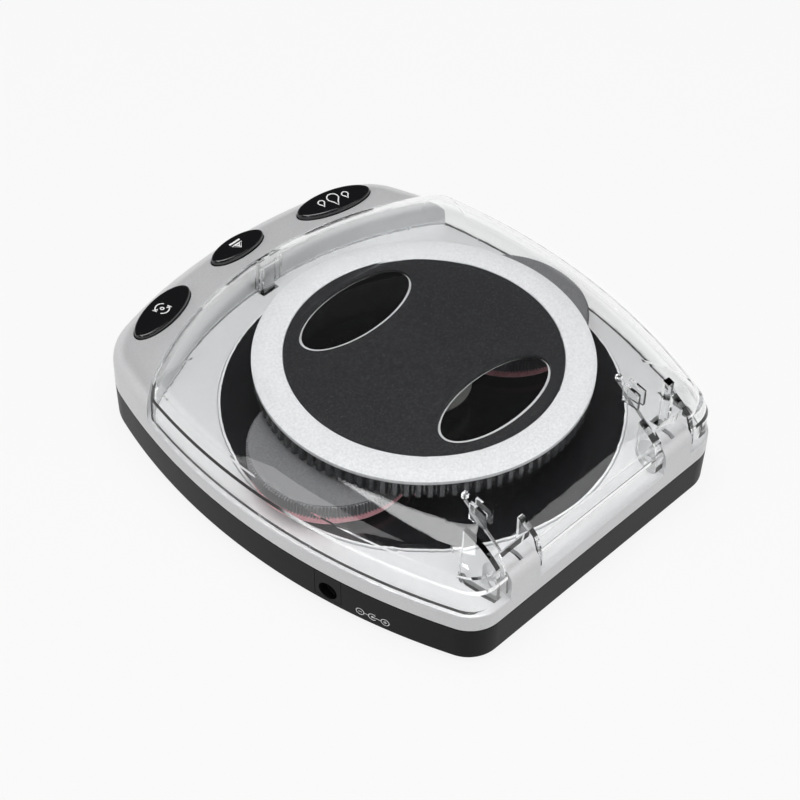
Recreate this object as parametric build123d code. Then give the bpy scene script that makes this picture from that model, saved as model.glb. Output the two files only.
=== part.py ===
from build123d import *

import math
import os

os.makedirs("parts", exist_ok=True)

# Disc repair machine. Millimetres, +Z up. The working origin lies on the spindle axis at table height;
# +X is the user's right and the socket side, +Y the hinge side, -Y the front with the buttons.

# ---- case, seen from above ---------------------------------------------------------------------
HALF_WIDTH = 72.5  # widest point of the bulged sides
BULGE_Y = -10.5  # where the sides are widest
SIDE_R = 208.0
LID_FRONT_REACH = 74.3  # spindle axis to the lid's front wall
PANEL_DEPTH = 20.1  # lid's front wall to the front edge
FRONT_REACH = LID_FRONT_REACH + PANEL_DEPTH
FRONT_R = 167.0
REAR_REACH = 75.2  # spindle axis to the straight rear
FRONT_CORNER_R = 21.6
REAR_CORNER_R = 11.7
# ---- case, heights and walls -------------------------------------------------------------------
FOOT_H = 1.5
LOWER_H = 13.1  # underside of the case to the seam
STRIP_H = 6.0  # seam to the deck
WALL = 2.0
LOWER_TAPER = 0.4
BOTTOM_ROUND = 0.7
SEAM_GROOVE = 0.35
LIP_T = 1.1
LIP_H = 1.5
SILL_ROUND = 0.6
PANEL_RISE = 9.8  # button panel above the deck, at its rear edge
PANEL_TILT = 3.5  # degrees, down towards the front
SHOULDER_R = 8.0
FIT = 0.15  # gap between parts that seat in each other
MOVE_GAP = 0.3  # gap between parts that move past each other
BIG = 400.0  # larger than the object, for cutting
# ---- disc tray and spindle ---------------------------------------------------------------------
DISC_BORE_R = 7.5
MAT_R = 63.45
TRAY_LIP = 0.65  # pale edge of the tray round the mat
TRAY_GROOVE = 0.4  # dark gap round the tray
TRAY_PROUD = 0.5
MAT_T = 0.7
TRAY_LEDGE = 6.5
TRAY_BODY_H = 1.5
POST_CLEAR = 0.3  # disc bore over the post
POST_FLANGE_R = 11.0
POST_FLANGE_T = 2.0
KEY_R = 6.0  # neck that holds the sun gear, with two flats
KEY_FLAT = 4.8
BUSH_T = 1.0
# ---- turning head ------------------------------------------------------------------------------
SUN_TEETH = 90
PLANET_TEETH = 156
HEAD_MODULE = 1.0 / 3.0
HEAD_BACKLASH = 0.1
HEAD_TURN = 2.2  # degrees that the head stands turned at rest
PAD_LIFT = 2.2  # mat to the pads
PAD_T = 3.1
PAD_INSET = 0.4
WHEEL_T = 4.8
SUN_T = 4.4
CARRIER_GAP = 0.8
CARRIER_T = 2.0
CARRIER_BAR = 24.0
CARRIER_RING_W = 7.64
HUB_R = 6.0
GRIP_TEETH = 94
GRIP_WALL = 1.4
GRIP_TOOTH = 1.2
GRIP_H = 5.7
RING_W = 9.74
RING_OVERHANG = 0.45
RING_EDGE_T = 1.1
RING_CROWN = 1.05
CAP_R = 43.89
CAP_T = 1.4
CAP_CROWN = 0.5
CAP_LEDGE = 1.9
WINDOW_HALF_L = 23.7
WINDOW_HALF_W = 10.5
WINDOW_MARGIN = 15.1  # middle of a window to the cap's edge
WINDOW_FLANGE = 1.4
WINDOW_FLANGE_T = 1.0
WINDOW_SINK = 0.12
WINDOW_BEVEL = 0.7
AXLE_R = 1.5
AXLE_HEAD_R = 3.0
CLIP_R = 3.0
CLIP_T = 0.6
RUN_FIT = 0.05  # radial clearance of a running fit
# ---- drive train -------------------------------------------------------------------------------
SHAFT_R = 1.5
DRIVE_MODULE = 0.5
DRIVE_BACKLASH = 0.12
FINAL_TEETH = 60
PINION_TEETH = 12
GEAR_ANGLE = 25.0  # pressure angle of every gear, degrees
GEAR_T = 3.0
PULLEY_R = 14.0
PULLEY_T = 3.0
PULLEY_GROOVE = 1.2
BELT_T = 1.6
BELT_GAP = 0.06
MOTOR_PULLEY_R = 3.8
IDLER_BEARING = 240.0  # degrees round the spindle axis
IDLER_PIN_R = 1.0
MOTOR_AT = (-34.0, -42.0)
MOTOR_R = 12.0
MOTOR_H = 8.4
MOTOR_SHAFT_R = 1.0
BRACKET_T = 0.8
BRACKET_ARM = 16.0
# ---- lid and hinge -----------------------------------------------------------------------------
LID_T = 2.0
LID_FRONT_R = 120.0
LID_GAP = 0.5  # between the lid's front wall and the button panel
LID_SIDE_INSET = 1.1
LID_REAR_INSET = 0.8
LID_REAR_CORNER_R = 9.0
# Lid sections from the seat upwards: height above the deck, then the insets at front, sides and rear.
LID_WALLS = ((0.3, 0.0, 0.0, 0.0), (8.5, 0.2, 0.4, 0.4), (13.2, 0.5, 2.1, 2.0))
LID_TOP = (
    (13.2, 0.5, 2.1, 2.0),
    (16.8, 5.0, 5.2, 6.0),
    (19.7, 11.0, 10.0, 11.0),
    (21.6, 19.0, 16.5, 17.5),
    (22.3, 35.0, 33.0, 33.0),
)
LID_CORNER_R = 4.5
LID_CORNER_GROWTH = 0.7
KNUCKLE_R = 5.5
HINGE_RISE = 5.6  # hinge axis above the deck
KNUCKLE_X0 = 28.8
KNUCKLE_W = 12.4
LUG_T = 2.4
PIN_R = 1.25
SPRING_WIRE_R = 0.5
SPRING_COIL_R = 2.6
SPRING_PITCH = 1.15
SPRING_TURNS = 4
SPRING_OFFSET = 5.8  # knuckle's inner end to the coil's middle
SPRING_REACH = 20.1  # hinge axis to the leg's tip, along Y
SPRING_TIP_RISE = 17.4  # above the deck
SEAT_RIB_T = 1.1
SEAT_RIB_L = 6.0
SEAT_RIB_AHEAD = 3.4  # leg's tip to the front of the ribs beside it
ARM_T = 1.7
ARM_SLOT_ROOM = 0.9  # extra width of the slot on the arm's outer side
ARM_OFFSET = 2.55  # knuckle's outer end to the arm's middle
ARM_R = 12.6
ARM_DIP = 3.2  # below the deck's top
POST_X = -45.2
POST_BACK = 14.6  # rear of the case to the sensor's post
POST_W = 2.8
POST_D = 2.2
SQUARE_HOLE = (4.4, 6.3)
DOGBONE_SIDE = 16.5  # widest side of the case to the slot
DOGBONE_BACK = 17.7  # rear of the case to the slot's middle
DOGBONE_L = 12.8
DOGBONE_W = 1.9
DOGBONE_END = (4.0, 3.0)
TAB_HALF_W = 4.7
TAB_D = 4.2  # lid's front wall to the rear face of the latch tab at its lower edge
TAB_TOP_D = 5.9  # and at the top of the lid's walls
TAB_LIFT = 2.4  # tab's lower edge above the deck
TAB_T = 1.2
TONGUE_HALF_W = 2.5
TONGUE_T = 1.8
TONGUE_DIP = 8.5  # below the deck's top
NOTCH_H = 2.8
NOTCH_D = 1.0
TONGUE_GAP = 1.0  # deck slot round the tongue, which swings as it rises
# ---- buttons and latch -------------------------------------------------------------------------
SIDE_BUTTON_X = 38.6
SIDE_BUTTON_BACK = 4.6  # lid's front wall to the button's middle
SIDE_BUTTON_TURN = 14.0
SIDE_BUTTON_HALF = (14.3, 5.5)  # opening in the panel, half its length and width
OPEN_BUTTON_BACK = 10.8  # lid's front wall to the button's middle
OPEN_BUTTON_HALF = (11.35, 4.6)
BUTTON_GAP = 0.35
BUTTON_PROUD = 2.3
BUTTON_ROUND = 0.8
BUTTON_DOME_R = 150.0
BUTTON_DROP = 4.4  # panel to the top of the button's flange
BUTTON_FLANGE = 0.8
BUTTON_FLANGE_T = 1.2
BUTTON_TRAVEL = 1.2
STEM_R = 1.2
RAMP_GAP = 0.45
BOARD_T = 1.6
BOARD_DROP = 2.5  # board's top below the deck's top
BOARD_HALF_L = 50.0
BOARD_BACK = 0.6  # lid's front wall to the board's rear edge
BOARD_W = 8.1
BOARD_SCREW_X = 22.0
BOARD_SCREW_R = 0.85
CAPACITOR_R = 2.0
CAPACITOR_H = 4.2
CAPACITOR_X = 28.5
CHIP_X = -15.6
CHIP_HALF = 2.8
PLUG_X = 15.6
PLUG_SIZE = (6.8, 3.6, 3.2)
DOME_R = 3.2
DOME_TOP_R = 1.8
DOME_H = 2.6
DOME_WALL = 0.5
SLIDER_HALF_W = 3.5
SLIDER_T = 2.2
SLIDER_DROP = 4.6  # slider's top below the deck's top
SLIDER_NOSE_HALF_W = 2.3
COIL_WIRE_R = 0.22
# ---- socket, sensor, screws, feet and leads ----------------------------------------------------
SOCKET_Y = 27.1
SOCKET_RISE = 5.6  # case's underside to the socket's middle
SOCKET_PANEL_W = 9.3
SOCKET_PANEL_T = 2.6
SOCKET_HOLE_R = 3.25
SOCKET_R = 2.9
SOCKET_DEPTH = 9.0
SOCKET_BODY = (13.0, 9.0, 9.0)
SOCKET_PIN_R = 1.05
SOCKET_PIN_L = 8.0
SENSOR_BODY = (9.0, 5.6, 7.0)
SENSOR_GAP = 3.8
FRONT_SCREW_SIDE = 18.5  # widest side of the case to the screw
FRONT_SCREW_IN = 18.6  # lid's front wall back to the screw
REAR_SCREW_X = 33.0
REAR_SCREW_BACK = 12.5  # rear of the case to the screw
BOSS_R = 4.0
SCREW_R = 1.45
SCREW_HEAD_R = 2.6
SCREW_HEAD_H = 2.0
FOOT_SIDE = 24.5  # widest side of the case to a foot
FRONT_FOOT_BACK = 17.2  # front edge to the foot
REAR_FOOT_BACK = 19.5  # rear of the case to the foot
FOOT_R = 5.0
FOOT_SINK = 0.5
LEAD_R = 0.8
LEAD_BEND = 2.5
LEAD_SIDE = 11.0  # widest side of the case to the sensor's leads
SENSOR_LEAD_X = -41.0

# ---- levels and places that follow -------------------------------------------------------------
Z_CASE = FOOT_H
Z_FLOOR = Z_CASE + WALL
Z_SEAM = Z_CASE + LOWER_H
Z_DECK = Z_SEAM + STRIP_H
Z_UNDER = Z_DECK - WALL
Z_MAT = Z_DECK + TRAY_PROUD
TRAY_R = MAT_R + TRAY_LIP
TRAY_BODY_R = TRAY_R - TRAY_LEDGE
Z_LEDGE = Z_DECK - WALL / 2
Z_TRAY_UNDER = Z_LEDGE - TRAY_BODY_H
POST_R = DISC_BORE_R - POST_CLEAR
BUSH_R = SHAFT_R + BUSH_T
Z_PAD = Z_MAT + PAD_LIFT
Z_WHEEL = Z_PAD + PAD_T
Z_WHEEL_TOP = Z_WHEEL + WHEEL_T
Z_CARRIER = Z_WHEEL_TOP + CARRIER_GAP
Z_CARRIER_TOP = Z_CARRIER + CARRIER_T
Z_RING = Z_CARRIER + GRIP_H
Z_CAP = Z_RING + 0.45
Z_CAP_EDGE = Z_CAP + CAP_T
PLANET_R = HEAD_MODULE * PLANET_TEETH / 2
PLANET_REACH = HEAD_MODULE * (SUN_TEETH + PLANET_TEETH) / 2
RING_R = CAP_R + RING_W
GRIP_R = RING_R - RING_OVERHANG
GRIP_IN = GRIP_R - GRIP_TOOTH - GRIP_WALL
CARRIER_RING_IN = GRIP_IN - CARRIER_RING_W
WINDOW_REACH = CAP_R - WINDOW_MARGIN
IDLER_REACH = DRIVE_MODULE * (FINAL_TEETH + PINION_TEETH) / 2
IDLER_AT = (
    IDLER_REACH * math.cos(math.radians(IDLER_BEARING)),
    IDLER_REACH * math.sin(math.radians(IDLER_BEARING)),
)
Z_PULLEY = Z_FLOOR + 0.9
Z_PULLEY_TOP = Z_PULLEY + PULLEY_T
Z_PINION = Z_PULLEY_TOP + 0.8
Z_FINAL = Z_PINION + 1.0
Z_HINGE = Z_DECK + HINGE_RISE
HINGE_Y = REAR_REACH - KNUCKLE_R
KNUCKLE_X1 = KNUCKLE_X0 + KNUCKLE_W
ARM_X = KNUCKLE_X1 + ARM_OFFSET
SPRING_X = KNUCKLE_X0 + SPRING_OFFSET
SPRING_TIP_Y = HINGE_Y - SPRING_REACH
POST_Y = REAR_REACH - POST_BACK
DOGBONE_AT = (DOGBONE_SIDE - HALF_WIDTH, REAR_REACH - DOGBONE_BACK)
TAB_FOOT_Y = TAB_D - LID_FRONT_REACH
TAB_TOP_Y = TAB_TOP_D - LID_FRONT_REACH
SIDE_BUTTON_AT = (SIDE_BUTTON_X, -LID_FRONT_REACH - SIDE_BUTTON_BACK)
OPEN_BUTTON_Y = -LID_FRONT_REACH - OPEN_BUTTON_BACK
BOARD_Y1 = -LID_FRONT_REACH - BOARD_BACK
BOARD_Y0 = BOARD_Y1 - BOARD_W
Z_SEAT = Z_DECK + LID_WALLS[0][0]
LID_CENTRE_Y = LID_FRONT_R - LID_FRONT_REACH
Z_SLIDER_TOP = Z_DECK - SLIDER_DROP
Z_SLIDER = Z_SLIDER_TOP - SLIDER_T
TONGUE_Y1 = TAB_FOOT_Y - 0.1
TONGUE_Y0 = TONGUE_Y1 - TONGUE_T
# The whole object's bounding box is centred on X and Y: the axis then lies a little behind its middle.
SHIFT_Y = (FRONT_REACH - REAR_REACH) / 2
PLACE = Pos(0, SHIFT_Y, 0)


# ---- helpers -----------------------------------------------------------------------------------
def rise(face, z0, z1):
    return extrude(Pos(0, 0, z0) * face, amount=z1 - z0)


def rod(radius, z0, z1, x=0.0, y=0.0):
    return Pos(x, y, (z0 + z1) / 2) * Cylinder(radius, z1 - z0)


def cross_rod(radius, x0, x1, y, z):
    return Pos((x0 + x1) / 2, y, z) * Rot(0, 90, 0) * Cylinder(radius, abs(x1 - x0))


def block(x0, x1, y0, y1, z0, z1):
    middle = Pos((x0 + x1) / 2, (y0 + y1) / 2, (z0 + z1) / 2)
    return middle * Box(abs(x1 - x0), abs(y1 - y0), abs(z1 - z0))


def side_profile(points, x0, x1):
    """A flat outline of (y, z) points, from x0 to x1."""
    face = make_face(Polyline(*[(x0, y, z) for y, z in points], close=True))
    return extrude(face, amount=x1 - x0, dir=(1, 0, 0))


def ellipse_at(half_l, half_w, x, y, turn=0.0):
    return Pos(x, y) * Rot(0, 0, turn) * Ellipse(half_l, half_w)


def outline(inset=0.0):
    """The case seen from above, drawn in by inset."""
    plan = Pos(0, FRONT_R - FRONT_REACH) * Circle(FRONT_R - inset)
    for side in (1, -1):
        plan &= Pos(side * (HALF_WIDTH - SIDE_R), BULGE_Y) * Circle(SIDE_R - inset)
    plan &= Pos(0, REAR_REACH - inset - BIG / 2) * Rectangle(BIG, BIG)
    corners = plan.vertices().sort_by(Axis.Y)
    plan = fillet(corners[:2], FRONT_CORNER_R - inset)
    corners = [v for v in plan.vertices() if abs(v.Y - (REAR_REACH - inset)) < 0.01]
    return fillet(corners, REAR_CORNER_R - inset)


def gear_face(teeth, module, backlash, steps):
    """Involute teeth as straight-sided facets, with a tooth centred on +X."""
    pitch_r = module * teeth / 2
    pressure = math.radians(GEAR_ANGLE)
    base_r = pitch_r * math.cos(pressure)
    tip_r = pitch_r + module
    root_r = pitch_r - 1.25 * module
    half_tooth = (math.pi * module / 2 - backlash) / 2 / pitch_r
    start_r = max(base_r, root_r)
    flank = []
    for i in range(steps + 1):
        r = start_r + (tip_r - start_r) * i / steps
        a = math.acos(min(1.0, base_r / r))
        flank.append((r, half_tooth + math.tan(pressure) - pressure - math.tan(a) + a))
    if root_r < start_r:
        flank.insert(0, (root_r, flank[0][1]))
    points = []
    for tooth in range(teeth):
        middle = 2 * math.pi * tooth / teeth
        for r, half in flank:
            points.append((r * math.cos(middle - half), r * math.sin(middle - half)))
        for r, half in reversed(flank):
            points.append((r * math.cos(middle + half), r * math.sin(middle + half)))
    return make_face(Polyline(*points, close=True))


def coil_spring(mean_r, wire_r, length, turns):
    """A coil standing on z = 0."""
    pitch = length / turns
    path = Helix(pitch=pitch, height=length, radius=mean_r)
    section = Plane(path @ 0, z_dir=path % 0) * Circle(wire_r)
    return sweep(section, path=path, is_frenet=True)


nodes = {}

# ---- lower case --------------------------------------------------------------------------------
FRONT_SCREW = (HALF_WIDTH - FRONT_SCREW_SIDE, FRONT_SCREW_IN - LID_FRONT_REACH)
REAR_SCREW = (REAR_SCREW_X, REAR_REACH - REAR_SCREW_BACK)
SCREWS = [(side * x, y) for x, y in (FRONT_SCREW, REAR_SCREW) for side in (1, -1)]
FOOT_X = HALF_WIDTH - FOOT_SIDE
FOOT_ROWS = (FRONT_FOOT_BACK - FRONT_REACH, REAR_REACH - REAR_FOOT_BACK)
FEET = [(side * FOOT_X, y) for y in FOOT_ROWS for side in (1, -1)]
SIDE_X = HALF_WIDTH - SIDE_R + math.sqrt(SIDE_R**2 - (SOCKET_Y - BULGE_Y) ** 2)  # side wall at the socket
Z_SOCKET = Z_CASE + SOCKET_RISE
Z_COUNTERBORE = Z_CASE + 4.5
BEARING_BOSS_R = 3.4
Z_BEARING_TOP = Z_PINION + 0.4
BRACKET_POSTS = [(MOTOR_AT[0] + side * BRACKET_ARM, MOTOR_AT[1]) for side in (1, -1)]
Z_BRACKET = Z_PULLEY_TOP + 0.4


def lower_form():
    """The lower case before it is hollowed."""
    top = Z_SEAM - SEAM_GROOVE
    form = loft([Pos(0, 0, Z_CASE) * outline(LOWER_TAPER), Pos(0, 0, top) * outline()])
    form = fillet(form.faces().sort_by(Axis.Z)[0].edges(), BOTTOM_ROUND)
    return form + rise(outline(SEAM_GROOVE), top, Z_SEAM)


def lower_case():
    case = lower_form() + rise(outline(WALL + FIT), Z_SEAM, Z_SEAM + LIP_H)
    case -= rise(outline(WALL + FIT + LIP_T), Z_FLOOR, Z_SEAM + LIP_H)
    panel_half = SOCKET_PANEL_W / 2 + FIT
    case -= block(SIDE_X - 8, BIG, SOCKET_Y - panel_half, SOCKET_Y + panel_half, Z_FLOOR, BIG)
    for x, y in SCREWS:
        case += rod(BOSS_R, Z_CASE, Z_SEAM - FIT, x, y)
    case += rod(BEARING_BOSS_R, Z_CASE, Z_BEARING_TOP)
    case += rod(IDLER_PIN_R + 1.6, Z_CASE, Z_PULLEY - MOVE_GAP, *IDLER_AT)
    for x, y in BRACKET_POSTS:
        case += rod(3.0, Z_CASE, Z_BRACKET, x, y)
    for x, y in SCREWS:
        case -= rod(SCREW_HEAD_R + MOVE_GAP, Z_CASE, Z_COUNTERBORE, x, y)
        case -= rod(SCREW_R + FIT, Z_CASE, Z_SEAM, x, y)
    case -= rod(BUSH_R, Z_FLOOR + 1.0, Z_BEARING_TOP)
    case -= rod(IDLER_PIN_R, Z_FLOOR, Z_PULLEY, *IDLER_AT)
    for x, y in BRACKET_POSTS:
        case -= rod(0.9, Z_FLOOR, Z_BRACKET, x, y)
    for x, y in FEET:
        case -= rod(FOOT_R, Z_CASE, Z_CASE + FOOT_SINK, x, y)
    return case


nodes["lower_case"] = lower_case()
nodes["rubber_feet"] = Compound([
    fillet(rod(FOOT_R, 0, FOOT_H + FOOT_SINK, x, y).edges().sort_by(Axis.Z)[0], 0.5) for x, y in FEET
])
nodes["case_screws"] = Compound([
    rod(SCREW_HEAD_R, Z_COUNTERBORE - SCREW_HEAD_H, Z_COUNTERBORE, x, y)
    + rod(SCREW_R, Z_COUNTERBORE, Z_SEAM + 3.0, x, y)
    - Pos(x, y, Z_COUNTERBORE - SCREW_HEAD_H + 0.4) * (Box(3.4, 0.7, 0.8) + Box(0.7, 3.4, 0.8))
    for x, y in SCREWS
])


# ---- upper case --------------------------------------------------------------------------------
def panel_top(y, drop=0.0):
    """Height of the tilted button panel at y."""
    rear_edge = -LID_FRONT_REACH - LID_GAP
    return Z_DECK + PANEL_RISE - drop + (y - rear_edge) * math.tan(math.radians(PANEL_TILT))


def front_block(inset):
    """The raised front of the upper case, drawn in by inset on every side."""
    cut_y = -30.0
    plan = outline(inset) & (Pos(0, cut_y - BIG / 2) * Rectangle(BIG, BIG))
    solid = rise(plan, Z_SEAM, Z_DECK + 2 * PANEL_RISE)
    above = [(-BIG, panel_top(-BIG, inset)), (BIG, panel_top(BIG, inset)), (BIG, BIG), (-BIG, BIG)]
    solid -= side_profile(above, -BIG, BIG)
    top = solid.faces().sort_by(Axis.Z)[-1]
    rim = [e for e in top.edges() if e.center().Y < cut_y - 1.0]
    solid = fillet(rim, SHOULDER_R - inset)
    solid -= rod(LID_FRONT_R + LID_GAP + inset, 0, BIG, 0, LID_CENTRE_Y)
    return solid


def button_places():
    sx, sy = SIDE_BUTTON_AT
    yield "repair_button", sx, sy, SIDE_BUTTON_HALF, SIDE_BUTTON_TURN
    yield "clean_button", -sx, sy, SIDE_BUTTON_HALF, -SIDE_BUTTON_TURN
    yield "open_button", 0.0, OPEN_BUTTON_Y, OPEN_BUTTON_HALF, 0.0


BOARD_TOP = Z_DECK - BOARD_DROP
BOARD_SCREWS = [(side * BOARD_SCREW_X, BOARD_Y1 - BOARD_W / 3) for side in (1, -1)]
ARM_SLOT_Y0 = HINGE_Y - math.sqrt((ARM_R + MOVE_GAP) ** 2 - HINGE_RISE**2) - MOVE_GAP
SPRING_POCKET_R = SPRING_COIL_R + SPRING_WIRE_R + 0.7
POCKET_HALF = SPRING_PITCH * SPRING_TURNS / 2 + SPRING_WIRE_R + MOVE_GAP


def knuckle(side):
    """Hinge knuckle of the upper case, rounded about the hinge axis and hollow for the spring's coil."""
    x0, x1 = side * KNUCKLE_X0, side * KNUCKLE_X1
    body = cross_rod(KNUCKLE_R, x0, x1, HINGE_Y, Z_HINGE)
    body += block(x0, x1, HINGE_Y - KNUCKLE_R, REAR_REACH, Z_UNDER, Z_HINGE)
    sx = side * SPRING_X
    body -= cross_rod(SPRING_POCKET_R, sx - POCKET_HALF, sx + POCKET_HALF, HINGE_Y, Z_HINGE)
    slot = SPRING_WIRE_R + MOVE_GAP
    sweep_r = KNUCKLE_R + 1.0
    wedge = [(HINGE_Y, Z_HINGE - SPRING_WIRE_R)]
    for degrees in (206, 174, 142, 110, 80, 60):
        angle = math.radians(degrees)
        wedge.append((HINGE_Y + 2 * sweep_r * math.cos(angle), Z_HINGE + 2 * sweep_r * math.sin(angle)))
    body -= side_profile(wedge, sx - slot, sx + slot)
    return body - cross_rod(PIN_R + 0.02, x0 - side, x1 + side, HINGE_Y, Z_HINGE)


def upper_case():
    strip = rise(outline(), Z_SEAM, Z_DECK)
    strip = fillet(strip.faces().sort_by(Axis.Z)[-1].edges(), SILL_ROUND)
    case = strip + front_block(0.0)
    case -= rise(outline(WALL), Z_SEAM, Z_UNDER)
    case -= front_block(WALL)
    case -= rod(TRAY_R + TRAY_GROOVE, Z_LEDGE, BIG)
    case -= rod(TRAY_BODY_R + FIT, 0, BIG)
    for _, x, y, (half_l, half_w), turn in button_places():
        case -= rise(ellipse_at(half_l, half_w, x, y, turn), Z_DECK, BIG)
    for side in (1, -1):
        case += knuckle(side)
    for x, y in SCREWS:
        case += rod(BOSS_R, Z_SEAM + FIT, Z_UNDER, x, y)
        case -= rod(SCREW_R + RUN_FIT, Z_SEAM, Z_SEAM + 3.2, x, y)
    for x, y in BOARD_SCREWS:
        case += rod(2.2, BOARD_TOP, panel_top(y, WALL / 2), x, y)
        case -= rod(BOARD_SCREW_R, BOARD_TOP, BOARD_TOP + 4.0, x, y)
    slot_half = ARM_T / 2 + 0.35
    slot_x1 = ARM_X + slot_half + ARM_SLOT_ROOM
    case -= block(ARM_X - slot_half, slot_x1, ARM_SLOT_Y0, HINGE_Y + 1.8, Z_SEAM, Z_DECK + 1)
    square_w, square_l = SQUARE_HOLE
    case -= Pos(POST_X, POST_Y - 0.3, Z_DECK) * Box(square_w, square_l, 3 * WALL)
    case -= Pos(*DOGBONE_AT, Z_DECK) * Box(DOGBONE_W, DOGBONE_L, 3 * WALL)
    end_w, end_l = DOGBONE_END
    for end in (1, -1):
        end_y = DOGBONE_AT[1] + end * (DOGBONE_L - end_l) / 2
        case -= Pos(DOGBONE_AT[0], end_y, Z_DECK) * Box(end_w, end_l, 3 * WALL)
    half = TONGUE_HALF_W + TONGUE_GAP
    case -= block(-half, half, TONGUE_Y0 - TONGUE_GAP, TONGUE_Y1 + TONGUE_GAP, Z_SEAM, Z_DECK + 1)
    return case


nodes["upper_case"] = upper_case()

# ---- disc tray, mat and spindle ----------------------------------------------------------------
nodes["disc_tray"] = (
    rod(TRAY_R, Z_LEDGE, Z_MAT)
    + rod(TRAY_BODY_R, Z_TRAY_UNDER, Z_LEDGE)
    - rod(MAT_R, Z_MAT - MAT_T, BIG)
    - rod(POST_R, 0, BIG)
)
nodes["tray_mat"] = rod(MAT_R, Z_MAT - MAT_T, Z_MAT) - rod(POST_R, 0, BIG)
Z_KEY = Z_WHEEL + 0.1
Z_POST_TOP = Z_KEY + SUN_T + 0.1


def keyed(radius, flat, z0, z1):
    return rod(radius, z0, z1) & block(-BIG, BIG, -flat, flat, z0, z1)


nodes["spindle_post"] = (
    rod(POST_FLANGE_R, Z_TRAY_UNDER - POST_FLANGE_T, Z_TRAY_UNDER)
    + rod(POST_R, Z_TRAY_UNDER, Z_KEY)
    + keyed(KEY_R, KEY_FLAT, Z_KEY, Z_POST_TOP)
    - rod(BUSH_R, 0, BIG)
)
UPPER_BUSH_H = 5.0
nodes["upper_bush"] = rod(BUSH_R, Z_POST_TOP - UPPER_BUSH_H, Z_POST_TOP) - rod(SHAFT_R + RUN_FIT, 0, BIG)
nodes["lower_bush"] = rod(BUSH_R, Z_FLOOR + 1.0, Z_BEARING_TOP) - rod(SHAFT_R + RUN_FIT, Z_FLOOR + 1.5, BIG)

# ---- turning head ------------------------------------------------------------------------------
TURN = Rot(0, 0, HEAD_TURN)
Z_HUB_TOP = Z_CAP - 0.5


def planet_place(side):
    """The wheel's axis on the +X (side 1) or -X (side -1) arm, with a tooth gap facing the sun gear."""
    half_pitch = 180.0 / PLANET_TEETH
    return TURN * Rot(0, 0, 0 if side > 0 else 180) * Pos(PLANET_REACH, 0) * Rot(0, 0, 180 + half_pitch)


def arm_point(side):
    return TURN * Pos(side * PLANET_REACH, 0)


nodes["sun_gear"] = (
    TURN * rise(gear_face(SUN_TEETH, HEAD_MODULE, HEAD_BACKLASH, 1), Z_KEY, Z_KEY + SUN_T)
    - keyed(KEY_R, KEY_FLAT, 0, BIG)
)
wheel_face = gear_face(PLANET_TEETH, HEAD_MODULE, HEAD_BACKLASH, 1)
PAD_R = PLANET_R - PAD_INSET
for name, side in (("right", 1), ("left", -1)):
    wheel = rise(wheel_face, Z_WHEEL, Z_WHEEL_TOP - 0.4)
    wheel += rod(PLANET_R - 0.5, Z_WHEEL_TOP - 0.4, Z_WHEEL_TOP)
    wheel -= rod(AXLE_R + RUN_FIT, 0, BIG)
    nodes[f"pad_wheel_{name}"] = planet_place(side) * wheel
    pad = rod(PAD_R, Z_PAD, Z_WHEEL) - rod(CLIP_R + 1.0, 0, BIG)
    nodes[f"polishing_pad_{name}"] = arm_point(side) * pad
    axle = rod(AXLE_R, Z_WHEEL - 1.4, Z_CARRIER_TOP)
    axle += rod(AXLE_HEAD_R, Z_CARRIER_TOP, Z_CARRIER_TOP + 1.0)
    nodes[f"wheel_axle_{name}"] = arm_point(side) * axle
    clip = rod(CLIP_R, Z_WHEEL - MOVE_GAP - CLIP_T, Z_WHEEL - MOVE_GAP) - rod(AXLE_R, 0, BIG)
    nodes[f"axle_clip_{name}"] = arm_point(side) * clip


def head_carrier():
    half_l, half_w = CARRIER_RING_IN + CARRIER_RING_W / 4, CARRIER_BAR / 2
    bar = block(-half_l, half_l, -half_w, half_w, Z_CARRIER, Z_CARRIER_TOP)
    ring = rod(GRIP_IN, Z_CARRIER, Z_CARRIER_TOP) - rod(CARRIER_RING_IN, 0, BIG)
    carrier = bar + ring + rod(HUB_R, Z_CARRIER, Z_HUB_TOP)
    for side in (1, -1):
        boss_z = Z_WHEEL_TOP + MOVE_GAP
        carrier += Pos(side * PLANET_REACH, 0) * rod(AXLE_R + 2.5, boss_z, Z_CARRIER)
        carrier -= Pos(side * PLANET_REACH, 0) * rod(AXLE_R, 0, BIG)
    carrier -= shaft_section(0, Z_HUB_TOP - 1.0)
    return TURN * carrier


def shaft_section(z0, z1):
    """The drive shaft's D-shaped end."""
    return rod(SHAFT_R, z0, z1) & block(-BIG, BIG, -BIG, SHAFT_R * 0.6, z0, z1)


nodes["head_carrier"] = head_carrier()
nodes["drive_shaft"] = TURN * (
    rod(SHAFT_R, Z_FLOOR + 1.8, Z_CARRIER - 0.2) + shaft_section(Z_CARRIER - 0.2, Z_HUB_TOP - 1.0)
)
nodes["final_gear"] = (
    rise(gear_face(FINAL_TEETH, DRIVE_MODULE, DRIVE_BACKLASH, 3), Z_FINAL, Z_FINAL + GEAR_T)
    + rod(SHAFT_R + 2.0, Z_FINAL + GEAR_T, Z_FINAL + GEAR_T + 1.5)
    - rod(SHAFT_R, 0, BIG)
)


def grip_rim():
    pitch = 360.0 / GRIP_TEETH
    root_r = GRIP_R - GRIP_TOOTH
    points = []
    for tooth in range(GRIP_TEETH):
        for share, r in ((0.0, root_r), (0.22, GRIP_R), (0.62, GRIP_R), (0.84, root_r)):
            angle = math.radians(pitch * (tooth + share))
            points.append((r * math.cos(angle), r * math.sin(angle)))
    face = make_face(Polyline(*points, close=True))
    return rise(face, Z_CARRIER, Z_RING) - rod(GRIP_IN, 0, BIG)


nodes["grip_rim"] = TURN * grip_rim()


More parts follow.
